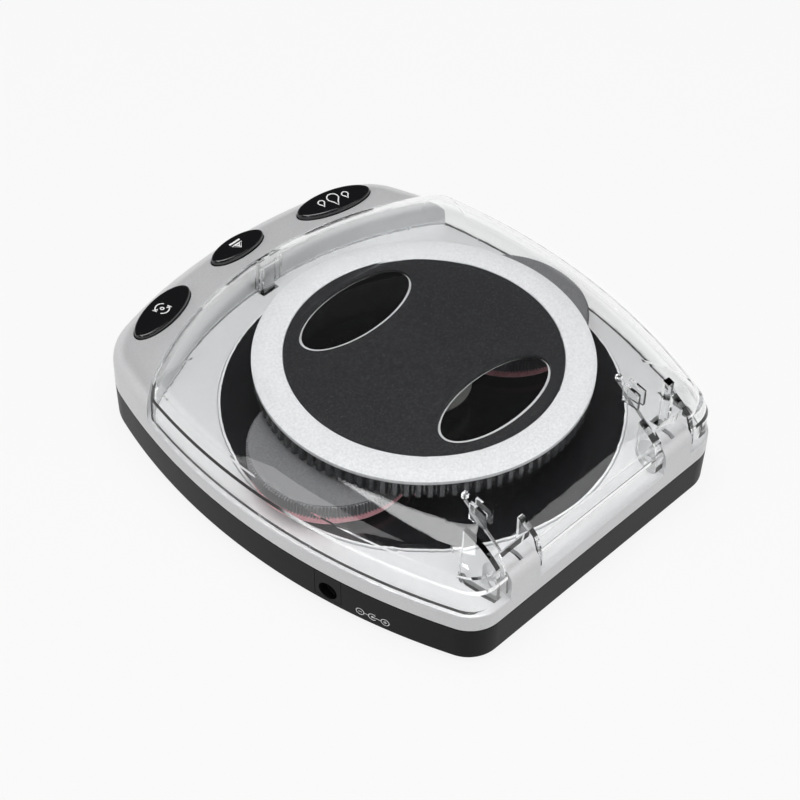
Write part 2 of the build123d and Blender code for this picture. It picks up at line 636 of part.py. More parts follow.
def spun(points, bulge):
    """A ring turned from (r, z) points; bulge is the point that the closing arc passes through."""
    flat = [(r, 0, z) for r, z in points]
    edges = Polyline(*flat) + ThreePointArc(flat[-1], (bulge[0], 0, bulge[1]), flat[0])
    return revolve(make_face(edges), Axis.Z)


ring_points = [
    (CAP_R, Z_CAP_EDGE + 0.1),
    (CAP_R, Z_CAP),
    (CAP_R - CAP_LEDGE, Z_CAP),
    (CAP_R - CAP_LEDGE, Z_RING),
    (RING_R, Z_RING),
    (RING_R, Z_RING + RING_EDGE_T),
]
ring_crown = ((CAP_R + RING_R) / 2, Z_RING + RING_EDGE_T + RING_CROWN)
nodes["head_ring"] = fillet(spun(ring_points, ring_crown).edges().sort_by(Axis.Z)[-2:], 0.25)
window_ellipse = Ellipse(WINDOW_HALF_L, WINDOW_HALF_W)


def window_place(side):
    return TURN * Pos(0, side * WINDOW_REACH)


def head_cap():
    dome_r = (CAP_R**2 + CAP_CROWN**2) / (2 * CAP_CROWN)
    top = Z_CAP_EDGE + CAP_CROWN
    cap = rod(CAP_R - FIT, Z_CAP, top) & (Pos(0, 0, top - dome_r) * Sphere(dome_r))
    for side in (1, -1):
        cap -= window_place(side) * rise(window_ellipse, 0, BIG)
    return cap


def window():
    half_l, half_w = WINDOW_HALF_L - FIT, WINDOW_HALF_W - FIT
    pane = rise(Ellipse(half_l, half_w), Z_CAP - WINDOW_FLANGE_T, Z_CAP_EDGE - WINDOW_SINK)
    pane = chamfer(pane.edges().sort_by(Axis.Z)[-1], WINDOW_BEVEL)
    flange = Ellipse(WINDOW_HALF_L + WINDOW_FLANGE, WINDOW_HALF_W + WINDOW_FLANGE)
    return pane + rise(flange, Z_CAP - WINDOW_FLANGE_T, Z_CAP)


nodes["head_cap"] = head_cap()
nodes["window_front"] = window_place(-1) * window()
nodes["window_rear"] = window_place(1) * window()


# ---- idler, belt and motor ---------------------------------------------------------------------
def pulley(radius, groove, z0):
    """A flanged pulley with a square-bottomed V groove."""
    half = BELT_T / 2 + 0.1
    middle = z0 + PULLEY_T / 2
    floor = radius - groove
    points = [(0, z0), (radius, z0), (radius, middle - half - 0.3), (floor, middle - half)]
    points += [(floor, middle + half), (radius, middle + half + 0.3)]
    points += [(radius, z0 + PULLEY_T), (0, z0 + PULLEY_T)]
    return revolve(make_face(Polyline(*[(r, 0, z) for r, z in points], close=True)), Axis.Z)


# The pinion stands with a tooth gap on the line to the final gear's tooth.
FINAL_TOOTH = 360.0 / FINAL_TEETH
PINION_TURN = IDLER_BEARING + 180.0 + 180.0 / PINION_TEETH
pinion = Rot(0, 0, PINION_TURN) * rise(
    gear_face(PINION_TEETH, DRIVE_MODULE, DRIVE_BACKLASH, 4), Z_PINION, Z_FINAL + GEAR_T + 0.4
)
nodes["idler_gear"] = Pos(*IDLER_AT) * (
    pulley(PULLEY_R, PULLEY_GROOVE, Z_PULLEY)
    + rod(2.6, Z_PULLEY_TOP, Z_PINION)
    + pinion
    - rod(IDLER_PIN_R + RUN_FIT, 0, BIG)
)
Z_IDLER_TOP = Z_FINAL + GEAR_T + 0.4
nodes["idler_pin"] = rod(IDLER_PIN_R, Z_FLOOR, Z_IDLER_TOP + MOVE_GAP, *IDLER_AT) + rod(
    IDLER_PIN_R + 1.0, Z_IDLER_TOP + MOVE_GAP, Z_IDLER_TOP + MOVE_GAP + 0.8, *IDLER_AT
)
nodes["final_gear"] = Rot(0, 0, IDLER_BEARING % FINAL_TOOTH) * nodes["final_gear"]


def belt():
    z0 = Z_PULLEY + (PULLEY_T - BELT_T) / 2
    big_r, small_r = PULLEY_R - PULLEY_GROOVE + BELT_GAP, MOTOR_PULLEY_R - PULLEY_GROOVE + BELT_GAP

    def hull(extra):
        ends = Pos(*IDLER_AT) * Circle(big_r + extra) + Pos(*MOTOR_AT) * Circle(small_r + extra)
        return make_hull(ends.edges())

    return rise(hull(BELT_T), z0, z0 + BELT_T) - rise(hull(0), z0 - 1, z0 + BELT_T + 1)


nodes["drive_belt"] = belt()
Z_MOTOR = Z_BRACKET + BRACKET_T
nodes["motor_pulley"] = Pos(*MOTOR_AT) * (
    pulley(MOTOR_PULLEY_R, PULLEY_GROOVE, Z_PULLEY) - rod(MOTOR_SHAFT_R, 0, BIG)
)
nodes["motor_shaft"] = rod(MOTOR_SHAFT_R, Z_PULLEY - 0.2, Z_MOTOR + 2.0, *MOTOR_AT)
motor_can = fillet(rod(MOTOR_R, Z_MOTOR, Z_MOTOR + MOTOR_H).edges().sort_by(Axis.Z)[-1], 1.0)
nodes["motor"] = Pos(*MOTOR_AT) * (motor_can - rod(MOTOR_SHAFT_R + RUN_FIT, 0, Z_MOTOR + 3.0))


def motor_bracket():
    plate = rod(MOTOR_R - 1.0, Z_BRACKET, Z_MOTOR)
    plate += block(-BRACKET_ARM - 3, BRACKET_ARM + 3, -3.5, 3.5, Z_BRACKET, Z_MOTOR)
    plate -= rod(MOTOR_SHAFT_R + 2.0, 0, BIG)
    for side in (1, -1):
        plate -= rod(1.1, 0, BIG, side * BRACKET_ARM, 0)
    return Pos(*MOTOR_AT) * plate


nodes["motor_bracket"] = motor_bracket()
nodes["motor_screws"] = Compound([
    rod(0.88, Z_FLOOR + 0.3, Z_MOTOR, x, y) + rod(1.9, Z_MOTOR, Z_MOTOR + 1.2, x, y) for x, y in BRACKET_POSTS
])


# ---- lid ---------------------------------------------------------------------------------------
def lid_plan(front, sides, rear, corner):
    """The lid seen from above, with its own insets at front, sides and rear."""
    plan = Pos(0, LID_CENTRE_Y) * Circle(LID_FRONT_R - front)
    for side in (1, -1):
        plan &= Pos(side * (HALF_WIDTH - SIDE_R), BULGE_Y) * Circle(SIDE_R - LID_SIDE_INSET - sides)
    rear_y = REAR_REACH - LID_REAR_INSET - rear
    plan &= Pos(0, rear_y - BIG / 2) * Rectangle(BIG, BIG)
    plan = fillet([v for v in plan.vertices() if v.Y < 0], corner)
    return fillet([v for v in plan.vertices() if abs(v.Y - rear_y) < 0.01], LID_REAR_CORNER_R)


def lid_form(table, wall, ruled):
    """The solid through a table of sections, drawn in by wall square to the side's profile."""
    sections = []
    for i, (up, front, sides, rear) in enumerate(table):
        before, after = LID_PROFILE[up]
        steep = math.atan2(after[0] - before[0], after[1] - before[1])
        inset = wall * math.sin(steep)
        plan = lid_plan(
            front + inset, sides + inset, rear + inset, LID_CORNER_R + LID_CORNER_GROWTH * front
        )
        sections.append(Pos(0, 0, Z_DECK + up - wall * math.cos(steep)) * plan)
    return loft(sections, ruled=ruled)


# Height and side inset of the sections below and above each one.
profile = [(up, sides) for up, _, sides, _ in LID_WALLS + LID_TOP[1:]]
LID_PROFILE = {
    point[0]: (profile[max(i - 1, 0)], profile[min(i + 1, len(profile) - 1)])
    for i, point in enumerate(profile)
}
Z_CEILING = Z_DECK + LID_TOP[-1][0] - LID_T
Z_LID_EDGE = Z_DECK + LID_TOP[0][0]


def hinge_lug(x):
    """A rounded plate that hangs from the lid and carries the hinge pin."""
    half = LUG_T / 2
    r = KNUCKLE_R - MOVE_GAP
    plate = cross_rod(r, x - half, x + half, HINGE_Y, Z_HINGE)
    return plate + block(x - half, x + half, HINGE_Y - r, HINGE_Y + 3.0, Z_HINGE, Z_CEILING)


def travel_arm():
    """The sector plate on the socket side that dips into the deck's slot."""
    x0, x1 = ARM_X - ARM_T / 2, ARM_X + ARM_T / 2
    front, rear = HINGE_Y - ARM_R + 1.0, HINGE_Y + 1.2
    arm = cross_rod(ARM_R, x0, x1, HINGE_Y, Z_HINGE) & block(x0, x1, front, rear, Z_DECK - ARM_DIP, Z_HINGE)
    return arm + block(x0, x1, front, rear, Z_HINGE, Z_CEILING)


def spring_seat(x):
    """The stud that a spring's leg pushes on, and the two ribs that guide the leg."""
    tip_z = Z_DECK + SPRING_TIP_RISE
    stud = SPRING_WIRE_R + MOVE_GAP
    seat = block(x - stud, x + stud, SPRING_TIP_Y - stud, SPRING_TIP_Y + stud, tip_z + stud, Z_CEILING)
    y0 = SPRING_TIP_Y + SEAT_RIB_AHEAD
    for side in (1, -1):
        x0, x1 = x + side * stud, x + side * (stud + SEAT_RIB_T)
        seat += block(x0, x1, y0, y0 + SEAT_RIB_L, Z_RIB_FOOT, Z_CEILING)
    return seat


def latch_tab():
    """The box behind the front wall's middle, and the notched tongue that the latch holds."""
    wall_y = -LID_FRONT_REACH + LID_T
    foot_z = Z_DECK + TAB_LIFT
    outer = [(wall_y - 1, foot_z), (TAB_FOOT_Y, foot_z), (TAB_TOP_Y, Z_LID_EDGE)]
    outer += [(TAB_TOP_Y, Z_CEILING), (wall_y - 1, Z_CEILING)]
    inner = [(wall_y, 0), (TAB_FOOT_Y - TAB_T, 0), (TAB_FOOT_Y - TAB_T, foot_z)]
    inner += [(TAB_TOP_Y - TAB_T, Z_LID_EDGE - TAB_T), (wall_y, Z_LID_EDGE - TAB_T)]
    tab = side_profile(outer, -TAB_HALF_W, TAB_HALF_W)
    tab -= side_profile(inner, -TAB_HALF_W + TAB_T, TAB_HALF_W - TAB_T)
    tongue = block(
        -TONGUE_HALF_W, TONGUE_HALF_W, TONGUE_Y0, TONGUE_Y1, Z_DECK - TONGUE_DIP, Z_LID_EDGE
    )
    notch_z = Z_SLIDER + SLIDER_T / 2
    tongue -= block(
        -BIG, BIG, TONGUE_Y0 - 1, TONGUE_Y0 + NOTCH_D, notch_z - NOTCH_H / 2, notch_z + NOTCH_H / 2
    )
    return tab + tongue


def lid():
    outer = lid_form(LID_WALLS, 0.0, True) + lid_form(LID_TOP, 0.0, False)
    inner = lid_form(LID_WALLS, LID_T, True) + lid_form(LID_TOP, LID_T, False)
    hanging = travel_arm() + latch_tab()
    for side in (1, -1):
        hanging += hinge_lug(side * (KNUCKLE_X0 - MOVE_GAP - LUG_T / 2)) + spring_seat(side * SPRING_X)
    hanging += hinge_lug(-(KNUCKLE_X1 + OUTER_LUG_GAP + LUG_T / 2))
    half_w, half_d = POST_W / 2, POST_D / 2
    hanging += block(
        POST_X - half_w, POST_X + half_w, POST_Y - half_d, POST_Y + half_d, Z_POST_FOOT, Z_CEILING
    )
    whole = (outer - inner) + (hanging & (outer + block(-BIG, BIG, -BIG, BIG, 0, Z_SEAT + 0.1)))
    # Notches for the knuckles and the pins, and a rounded lower rear edge that swings clear of the deck.
    gap_r = KNUCKLE_R + 2 * MOVE_GAP
    for side in (1, -1):
        x0, x1 = side * (KNUCKLE_X0 - MOVE_GAP), side * (KNUCKLE_X1 + OUTER_LUG_GAP)
        whole -= block(x0, x1, HINGE_Y, BIG, 0, BIG)
        whole -= cross_rod(gap_r, x0, x1, HINGE_Y, Z_HINGE)
        whole -= block(x0, x1, HINGE_Y - gap_r, BIG, 0, Z_HINGE)
        whole -= cross_rod(PIN_R + RUN_FIT, side * (PIN_X0 - 1), side * (PIN_X1 + 1), HINGE_Y, Z_HINGE)
    behind = block(-BIG, BIG, HINGE_Y, BIG, 0, Z_HINGE)
    behind -= cross_rod(HINGE_RISE - MOVE_GAP, -BIG, BIG, HINGE_Y, Z_HINGE)
    behind -= block(ARM_X - ARM_T, ARM_X + ARM_T, HINGE_Y, HINGE_Y + 1.3, 0, Z_HINGE)
    return whole - behind


OUTER_LUG_GAP = 2 * MOVE_GAP
PIN_X0 = KNUCKLE_X0 - MOVE_GAP - LUG_T - MOVE_GAP
PIN_X1 = KNUCKLE_X1 + OUTER_LUG_GAP + LUG_T + MOVE_GAP
Z_POST_FOOT = Z_UNDER - 0.8
Z_RIB_FOOT = Z_WHEEL_TOP + 2.8
nodes["lid"] = lid()
nodes["hinge_pins"] = Compound([cross_rod(PIN_R, s * PIN_X0, s * PIN_X1, HINGE_Y, Z_HINGE) for s in (1, -1)])


def torsion_spring(side):
    """Coil about the hinge pin, with one leg from its lower side up to the lid."""
    length = SPRING_PITCH * SPRING_TURNS
    coil = coil_spring(SPRING_COIL_R, SPRING_WIRE_R, length, SPRING_TURNS)
    coil = Pos(side * SPRING_X - length / 2, HINGE_Y, Z_HINGE) * Rot(0, 90, 0) * coil
    tip = Vector(side * SPRING_X, SPRING_TIP_Y, Z_DECK + SPRING_TIP_RISE)
    reach = math.hypot(HINGE_Y - tip.Y, tip.Z - Z_HINGE)
    to_tip = math.atan2(tip.Z - Z_HINGE, tip.Y - HINGE_Y)
    off = to_tip + math.acos(SPRING_COIL_R / reach)
    root_y = HINGE_Y + SPRING_COIL_R * math.cos(off)
    root = Vector(side * SPRING_X, root_y, Z_HINGE + SPRING_COIL_R * math.sin(off))
    leg_line = tip - root
    leg = Pos(0, 0, leg_line.length / 2) * Cylinder(SPRING_WIRE_R, leg_line.length)
    return coil + Plane(root, z_dir=leg_line) * leg


nodes["torsion_spring_right"] = torsion_spring(1)
nodes["torsion_spring_left"] = torsion_spring(-1)

# ---- buttons -----------------------------------------------------------------------------------
Z_DOME_TOP = BOARD_TOP + DOME_H
Z_RAMP = Z_SLIDER_TOP + BUTTON_TRAVEL + MOVE_GAP  # lowest point of the open button's slanted stem


def button(name, y, half_l, half_w):
    """A domed oval key with a flange that keeps it under the panel, and a stem."""
    top = panel_top(y) + BUTTON_PROUD
    under = panel_top(y) - BUTTON_DROP
    key = rise(Ellipse(half_l - BUTTON_GAP, half_w - BUTTON_GAP), under, top)
    key &= Pos(0, 0, top - BUTTON_DOME_R) * Sphere(BUTTON_DOME_R)
    key = fillet(key.faces().sort_by(Axis.Z)[-1].edges(), BUTTON_ROUND)
    key += rise(Ellipse(half_l + BUTTON_FLANGE, half_w + BUTTON_FLANGE), under - BUTTON_FLANGE_T, under)
    if name != "open_button":
        return key + rod(STEM_R, Z_DOME_TOP + MOVE_GAP, under)
    slant = [(STEM_R, Z_RAMP), (-STEM_R, Z_RAMP + 2 * STEM_R), (-STEM_R, 0), (STEM_R, 0)]
    return key + (rod(STEM_R, Z_RAMP, under) - side_profile(slant, -STEM_R, STEM_R))


for name, x, y, half, turn in button_places():
    nodes[name] = Pos(x, y) * Rot(0, 0, turn) * button(name, y, *half)


def key_dome(x, y):
    """A hollow rubber dome on the board, under a stem."""
    outer = Pos(0, 0, DOME_H / 2) * Cone(DOME_R, DOME_TOP_R, DOME_H)
    inner_h = DOME_H - 2 * DOME_WALL
    inner = Pos(0, 0, inner_h / 2) * Cone(DOME_R - DOME_WALL, DOME_TOP_R - DOME_WALL / 2, inner_h)
    return Pos(x, y, BOARD_TOP) * (outer - inner)


nodes["key_dome_repair"] = key_dome(*SIDE_BUTTON_AT)
nodes["key_dome_clean"] = key_dome(-SIDE_BUTTON_AT[0], SIDE_BUTTON_AT[1])


# ---- control board -----------------------------------------------------------------------------
BRIDGE_HALF_W = 5.6
BRIDGE_NOTCH_Y = SIDE_BUTTON_AT[1]


def control_board():
    board = block(-BOARD_HALF_L, BOARD_HALF_L, BOARD_Y0, BOARD_Y1, BOARD_TOP - BOARD_T, BOARD_TOP)
    board -= block(-2 * BRIDGE_HALF_W, 2 * BRIDGE_HALF_W, -BIG, BRIDGE_NOTCH_Y, 0, BIG)
    board &= rise(outline(WALL + 2 * MOVE_GAP), 0, BIG)
    for x, y in BOARD_SCREWS:
        board -= rod(BOARD_SCREW_R + FIT, 0, BIG, x, y)
    return board


nodes["control_board"] = control_board()
Z_BOARD = BOARD_TOP - BOARD_T
nodes["board_screws"] = Compound([
    rod(BOARD_SCREW_R, Z_BOARD, BOARD_TOP + 3.5, x, y) + rod(1.8, Z_BOARD - 1.2, Z_BOARD, x, y)
    for x, y in BOARD_SCREWS
])
CHIP_AT = (CHIP_X, (BOARD_Y0 + BOARD_Y1) / 2)
chip_body = block(-CHIP_HALF, CHIP_HALF, -CHIP_HALF, CHIP_HALF, 0.1, 1.3)
nodes["control_chip"] = Pos(*CHIP_AT, BOARD_TOP) * chip_body + Compound([
    Pos(CHIP_AT[0] + side * (CHIP_HALF + 0.4), CHIP_AT[1] + step * 0.8, BOARD_TOP + 0.15)
    * Box(0.9, 0.35, 0.3)
    for side in (1, -1)
    for step in range(-3, 4)
])
CAPACITOR_Y = BOARD_Y1 - CAPACITOR_R - 1.1
nodes["board_capacitors"] = Compound([
    rod(CAPACITOR_R, BOARD_TOP, BOARD_TOP + CAPACITOR_H, side * CAPACITOR_X, CAPACITOR_Y) for side in (1, -1)
])
PLUG_AT = (PLUG_X, CHIP_AT[1])
plug_l, plug_w, plug_h = PLUG_SIZE
nodes["lead_plug"] = Pos(*PLUG_AT, Z_BOARD - plug_h / 2) * Box(plug_l, plug_w, plug_h)

# ---- latch -------------------------------------------------------------------------------------
SLIDER_Y0 = OPEN_BUTTON_Y - 3.3
SLIDER_Y1 = TONGUE_Y0 - 0.65
NOSE_L = 3.0
LATCH_STOP_Y = SLIDER_Y0 - BUTTON_TRAVEL - MOVE_GAP
LATCH_STOP_T = 0.8
SPRING_Z = Z_SLIDER + 1.8
SPRING_BORE_R = 1.3
SPRING_BORE_L = 3.9


def latch_slider():
    """The bolt: its ramp turns the open button's travel into a pull towards the front."""
    bolt = block(-SLIDER_HALF_W, SLIDER_HALF_W, SLIDER_Y0, SLIDER_Y1 - NOSE_L, Z_SLIDER, Z_SLIDER_TOP)
    nose_w = SLIDER_NOSE_HALF_W
    bolt += block(-nose_w, nose_w, SLIDER_Y1 - NOSE_L, SLIDER_Y1, Z_SLIDER, Z_SLIDER_TOP)
    # The ramp runs parallel to the stem's slant, RAMP_GAP below it.
    stem_rear = OPEN_BUTTON_Y + STEM_R
    low_y = stem_rear + Z_RAMP - RAMP_GAP - Z_SLIDER_TOP
    crest_y = SLIDER_Y0 + 0.8
    crest_z = Z_SLIDER_TOP + low_y - crest_y
    ramp = [(low_y, Z_SLIDER_TOP), (crest_y, crest_z), (SLIDER_Y0, crest_z), (SLIDER_Y0, Z_SLIDER_TOP)]
    bolt += side_profile(ramp, -SLIDER_HALF_W, SLIDER_HALF_W)
    bore = Rot(90, 0, 0) * Cylinder(SPRING_BORE_R, SPRING_BORE_L)
    return bolt - Pos(0, SLIDER_Y0 + SPRING_BORE_L / 2, SPRING_Z) * bore


nodes["latch_slider"] = latch_slider()
bolt_space = SLIDER_Y0 + SPRING_BORE_L - LATCH_STOP_Y
coil = coil_spring(SPRING_BORE_R - 0.4, COIL_WIRE_R, bolt_space - 2 * COIL_WIRE_R, 7)
nodes["latch_spring"] = Pos(0, LATCH_STOP_Y + COIL_WIRE_R, SPRING_Z) * Rot(-90, 0, 0) * coil
PLATFORM_Z = Z_DECK
PLATFORM_X = 7.4


def latch_bridge():
    """Guides for the bolt, its spring's stop and the two platforms under the open button's springs."""
    y0, y1 = LATCH_STOP_Y - LATCH_STOP_T, SLIDER_Y1 - NOSE_L
    inner = SLIDER_HALF_W + 2 * MOVE_GAP
    bridge = block(-BRIDGE_HALF_W, BRIDGE_HALF_W, y0, y1, Z_FLOOR, Z_SLIDER_TOP)
    bridge += block(-BRIDGE_HALF_W, BRIDGE_HALF_W, y0, BRIDGE_NOTCH_Y - MOVE_GAP, Z_SLIDER, PLATFORM_Z)
    bridge -= block(-inner, inner, LATCH_STOP_Y, y1, Z_SLIDER - MOVE_GAP, BIG)
    bridge -= block(-inner, inner, y0 + 2.0, y1, Z_FLOOR, Z_SLIDER - MOVE_GAP - 1.5)
    bridge -= block(-BIG, BIG, y0 + 4.0, y1 - 4.0, Z_FLOOR, Z_SLIDER - MOVE_GAP - 3.0)
    for side in (1, -1):
        x0, x1 = side * inner, side * (PLATFORM_X + 2.6)
        bridge += block(x0, x1, OPEN_BUTTON_Y - 3.0, OPEN_BUTTON_Y + 3.0, PLATFORM_Z - 1.5, PLATFORM_Z)
    return bridge


nodes["latch_bridge"] = latch_bridge()
open_under = panel_top(OPEN_BUTTON_Y) - BUTTON_DROP - BUTTON_FLANGE_T
open_coil = coil_spring(1.6, COIL_WIRE_R, open_under - PLATFORM_Z - 2 * COIL_WIRE_R, 4)
nodes["open_springs"] = Compound([
    Pos(side * PLATFORM_X, OPEN_BUTTON_Y, PLATFORM_Z + COIL_WIRE_R) * open_coil for side in (1, -1)
])

# ---- lid sensor --------------------------------------------------------------------------------
sensor_l, sensor_w, sensor_h = SENSOR_BODY
nodes["lid_sensor"] = Pos(POST_X, POST_Y, Z_UNDER) * (
    block(-sensor_l / 2, sensor_l / 2, -sensor_w / 2, sensor_w / 2, -sensor_h, 0)
    - block(-SENSOR_GAP / 2, SENSOR_GAP / 2, -sensor_w, sensor_w, -sensor_h + 3.0, 0)
)

# ---- low-voltage socket ------------------------------------------------------------------------
panel_back = SIDE_X - SOCKET_PANEL_T
nodes["socket_panel"] = (
    lower_form()
    & block(
        panel_back,
        BIG,
        SOCKET_Y - SOCKET_PANEL_W / 2,
        SOCKET_Y + SOCKET_PANEL_W / 2,
        Z_FLOOR + FIT,
        Z_SEAM - FIT,
    )
) - cross_rod(SOCKET_HOLE_R, panel_back - 1, SIDE_X + 1, SOCKET_Y, Z_SOCKET)
body_l, body_w, body_h = SOCKET_BODY
nodes["power_socket"] = block(
    panel_back - body_l, panel_back, SOCKET_Y - body_w / 2, SOCKET_Y + body_w / 2, Z_FLOOR, Z_FLOOR + body_h
) - cross_rod(SOCKET_R, panel_back - SOCKET_DEPTH, panel_back, SOCKET_Y, Z_SOCKET)
pin_x = panel_back - SOCKET_DEPTH
nodes["socket_pin"] = cross_rod(SOCKET_PIN_R, pin_x, pin_x + SOCKET_PIN_L, SOCKET_Y, Z_SOCKET)


# ---- leads -------------------------------------------------------------------------------------
def lead(*points):
    path = FilletPolyline(*points, radius=LEAD_BEND)
    return sweep(Plane(path @ 0, z_dir=path % 0) * Circle(LEAD_R), path=path)


socket_back = panel_back - body_l
lead_z = Z_FLOOR + 3.0
nodes["socket_leads"] = Compound([
    lead(
        (socket_back, SOCKET_Y + i, lead_z),
        (socket_back - 8 + i, SOCKET_Y + i, lead_z),
        (socket_back - 8 + i, BOARD_Y1 + 9, lead_z),
        (PLUG_AT[0] + i, PLUG_AT[1], lead_z),
        (PLUG_AT[0] + i, PLUG_AT[1], Z_BOARD - plug_h),
    )
    for i in (-1.0, 1.0)
])
nodes["motor_leads"] = Compound([
    lead(
        (MOTOR_AT[0] + i, MOTOR_AT[1] - MOTOR_R, Z_MOTOR + 2.4),
        (MOTOR_AT[0] + i, CAPACITOR_Y, Z_MOTOR + 2.4),
        (MOTOR_AT[0] + i, CAPACITOR_Y, Z_BOARD),
    )
    for i in (-1.5, 1.5)
])
sensor_z = Z_UNDER - sensor_h + 1.5
lead_x = LEAD_SIDE - HALF_WIDTH
nodes["sensor_leads"] = Compound([
    lead(
        (POST_X + i, POST_Y - sensor_w / 2, sensor_z),
        (POST_X + i, POST_Y - sensor_w / 2 - 10, sensor_z),
        (lead_x + i, 34, sensor_z),
        (lead_x + i, -30, sensor_z),
        (SENSOR_LEAD_X + i, BOARD_Y1 + 11, sensor_z),
        (SENSOR_LEAD_X + i, CHIP_AT[1], sensor_z),
        (SENSOR_LEAD_X + i, CHIP_AT[1], Z_BOARD),
    )
    for i in (-1.0, 1.0)
])

# ---- files -------------------------------------------------------------------------------------
for name, shape in nodes.items():
    export_step(PLACE * shape, f"parts/{name}.step")
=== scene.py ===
import math

import bmesh
import bpy
from mathutils import Matrix, Vector, noise


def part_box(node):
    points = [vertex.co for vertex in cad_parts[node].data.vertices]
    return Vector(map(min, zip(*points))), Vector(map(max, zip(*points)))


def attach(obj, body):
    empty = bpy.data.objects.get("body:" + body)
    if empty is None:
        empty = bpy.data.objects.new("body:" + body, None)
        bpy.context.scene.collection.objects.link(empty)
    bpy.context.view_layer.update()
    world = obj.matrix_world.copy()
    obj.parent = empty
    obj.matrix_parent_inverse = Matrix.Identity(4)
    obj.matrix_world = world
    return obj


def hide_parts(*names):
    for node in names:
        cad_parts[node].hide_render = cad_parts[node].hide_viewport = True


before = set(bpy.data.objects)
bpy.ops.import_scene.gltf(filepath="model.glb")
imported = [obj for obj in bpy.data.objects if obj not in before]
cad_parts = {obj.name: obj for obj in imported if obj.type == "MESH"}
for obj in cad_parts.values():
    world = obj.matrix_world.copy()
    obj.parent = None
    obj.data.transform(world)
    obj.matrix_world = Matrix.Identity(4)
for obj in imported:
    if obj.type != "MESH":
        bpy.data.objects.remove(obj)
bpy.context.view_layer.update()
MM = 0.001

# ---- rubber feet -------------------------------------------------------------------------------
# Four round feet of black rubber, pressed into shallow seats in the underside.
# Their surface is dull, with the fine pitting of a moulded rubber button.


class Field:
    """A number or colour that changes over a surface; arithmetic on it adds Math nodes."""

    def __init__(self, finish, socket):
        self.finish = finish
        self.socket = socket

    def _math(self, operation, first, second):
        return self.finish.node("ShaderNodeMath", {"operation": operation}, {0: first, 1: second})

    def __add__(self, other):
        return self._math("ADD", self, other)

    def __radd__(self, other):
        return self._math("ADD", other, self)

    def __sub__(self, other):
        return self._math("SUBTRACT", self, other)

    def __rsub__(self, other):
        return self._math("SUBTRACT", other, self)

    def __mul__(self, other):
        return self._math("MULTIPLY", self, other)

    def __rmul__(self, other):
        return self._math("MULTIPLY", other, self)

    def __pow__(self, other):
        return self._math("POWER", self, other)

    def __gt__(self, other):
        return self._math("GREATER_THAN", self, other)

    def __lt__(self, other):
        return self._math("LESS_THAN", self, other)


class Shading:
    """The node tree of a surface or of the studio round it."""

    def __init__(self, tree):
        self.tree = tree

    def link(self, target, value):
        if isinstance(value, Field):
            self.tree.links.new(value.socket, target)
        else:
            target.default_value = value

    def node(self, kind, settings, sockets, output=0):
        """Adds a node, sets what it is and feeds its sockets; gives one of its outputs."""
        made = self.tree.nodes.new(kind)
        for key, value in settings.items():
            if key == "stops":
                ramp = made.color_ramp
                while len(ramp.elements) < len(value):
                    ramp.elements.new(0.5)
                for element, (place, color) in zip(ramp.elements, value):
                    element.position = place
                    element.color = (*color, 1.0)
            else:
                setattr(made, key, value)
        for key, value in sockets.items():
            self.link(made.inputs[key], value)
        return Field(self, made.outputs[output])

    def shown(self):
        """1 for a ray that shows the studio to the camera, straight or in gloss or clear plastic, else 0."""
        rays = self.tree.nodes.new("ShaderNodeLightPath").outputs
        straight = Field(self, rays["Is Camera Ray"])
        seen = straight + Field(self, rays["Is Glossy Ray"]) + Field(self, rays["Is Transmission Ray"])
        return (seen > 0.5) * (Field(self, rays["Diffuse Depth"]) < 0.5)


class Finish(Shading):
    """A piece's surface: one Principled shader and the nodes that vary it."""

    def __init__(self, name, color, roughness, **sockets):
        self.material = bpy.data.materials.new(name)
        self.material.use_nodes = True
        super().__init__(self.material.node_tree)
        self.shader = self.tree.nodes["Principled BSDF"]
        self.material.diffuse_color = (*color[:3], 1.0)
        self.feed("Base Color", (*color[:3], 1.0))
        self.feed("Roughness", roughness)
        for socket, value in sockets.items():
            self.feed(socket.replace("_", " "), value)

    def feed(self, socket, value):
        """Sets or links one socket of the shader."""
        self.link(self.shader.inputs[socket], value)

    def place(self):
        return self.node("ShaderNodeTexCoord", {}, {}, "Object")

    def noise(self, size, detail=3.0, rough=0.5):
        """Even-sided grain of about this size in metres, from 0 to 1."""
        sockets = {"Vector": self.place(), "Scale": 1 / size, "Detail": detail, "Roughness": rough}
        return self.node("ShaderNodeTexNoise", {}, sockets, "Fac")

    def mix(self, share, first, second):
        """first where share is 0 and second where it is 1, as colours."""
        sockets = {0: share, 6: (*first, 1.0), 7: (*second, 1.0)}
        return self.node("ShaderNodeMix", {"data_type": "RGBA"}, sockets, 2)

    def relief(self, height, depth):
        """Raises the surface by height times depth, in metres, as light sees it."""
        sockets = {"Height": height, "Distance": depth, "Strength": 1.0}
        self.feed("Normal", self.node("ShaderNodeBump", {}, sockets))

    def wear(self, *nodes):
        """Gives this finish to CAD nodes."""
        for name in nodes:
            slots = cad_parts[name].data.materials
            slots.clear()
            slots.append(self.material)
        return self


rubber = Finish("foot_rubber", (0.018, 0.018, 0.018), 0.75)
pits = rubber.noise(0.0006)
rubber.feed("Base Color", rubber.mix(pits, (0.012, 0.012, 0.012), (0.030, 0.030, 0.030)))
rubber.relief(pits, 0.00012)
rubber.wear("rubber_feet")

# ---- lower case --------------------------------------------------------------------------------
# The bottom half of the case, moulded in black plastic with slightly drafted walls.
# It is self-coloured, with a soft sheen and a very fine spark-eroded grain.
case_black = Finish("case_black", (0.008, 0.008, 0.009), 0.40, Specular_IOR_Level=0.1)
spark = case_black.noise(0.00035, 4.0)
cloud = case_black.noise(0.02, 2.0)
case_black.feed("Base Color", case_black.mix(cloud, (0.004, 0.004, 0.005), (0.008, 0.008, 0.009)))
case_black.feed("Roughness", 0.34 + spark * 0.14)
case_black.relief(spark, 0.00002)
case_black.wear("lower_case", "socket_panel")

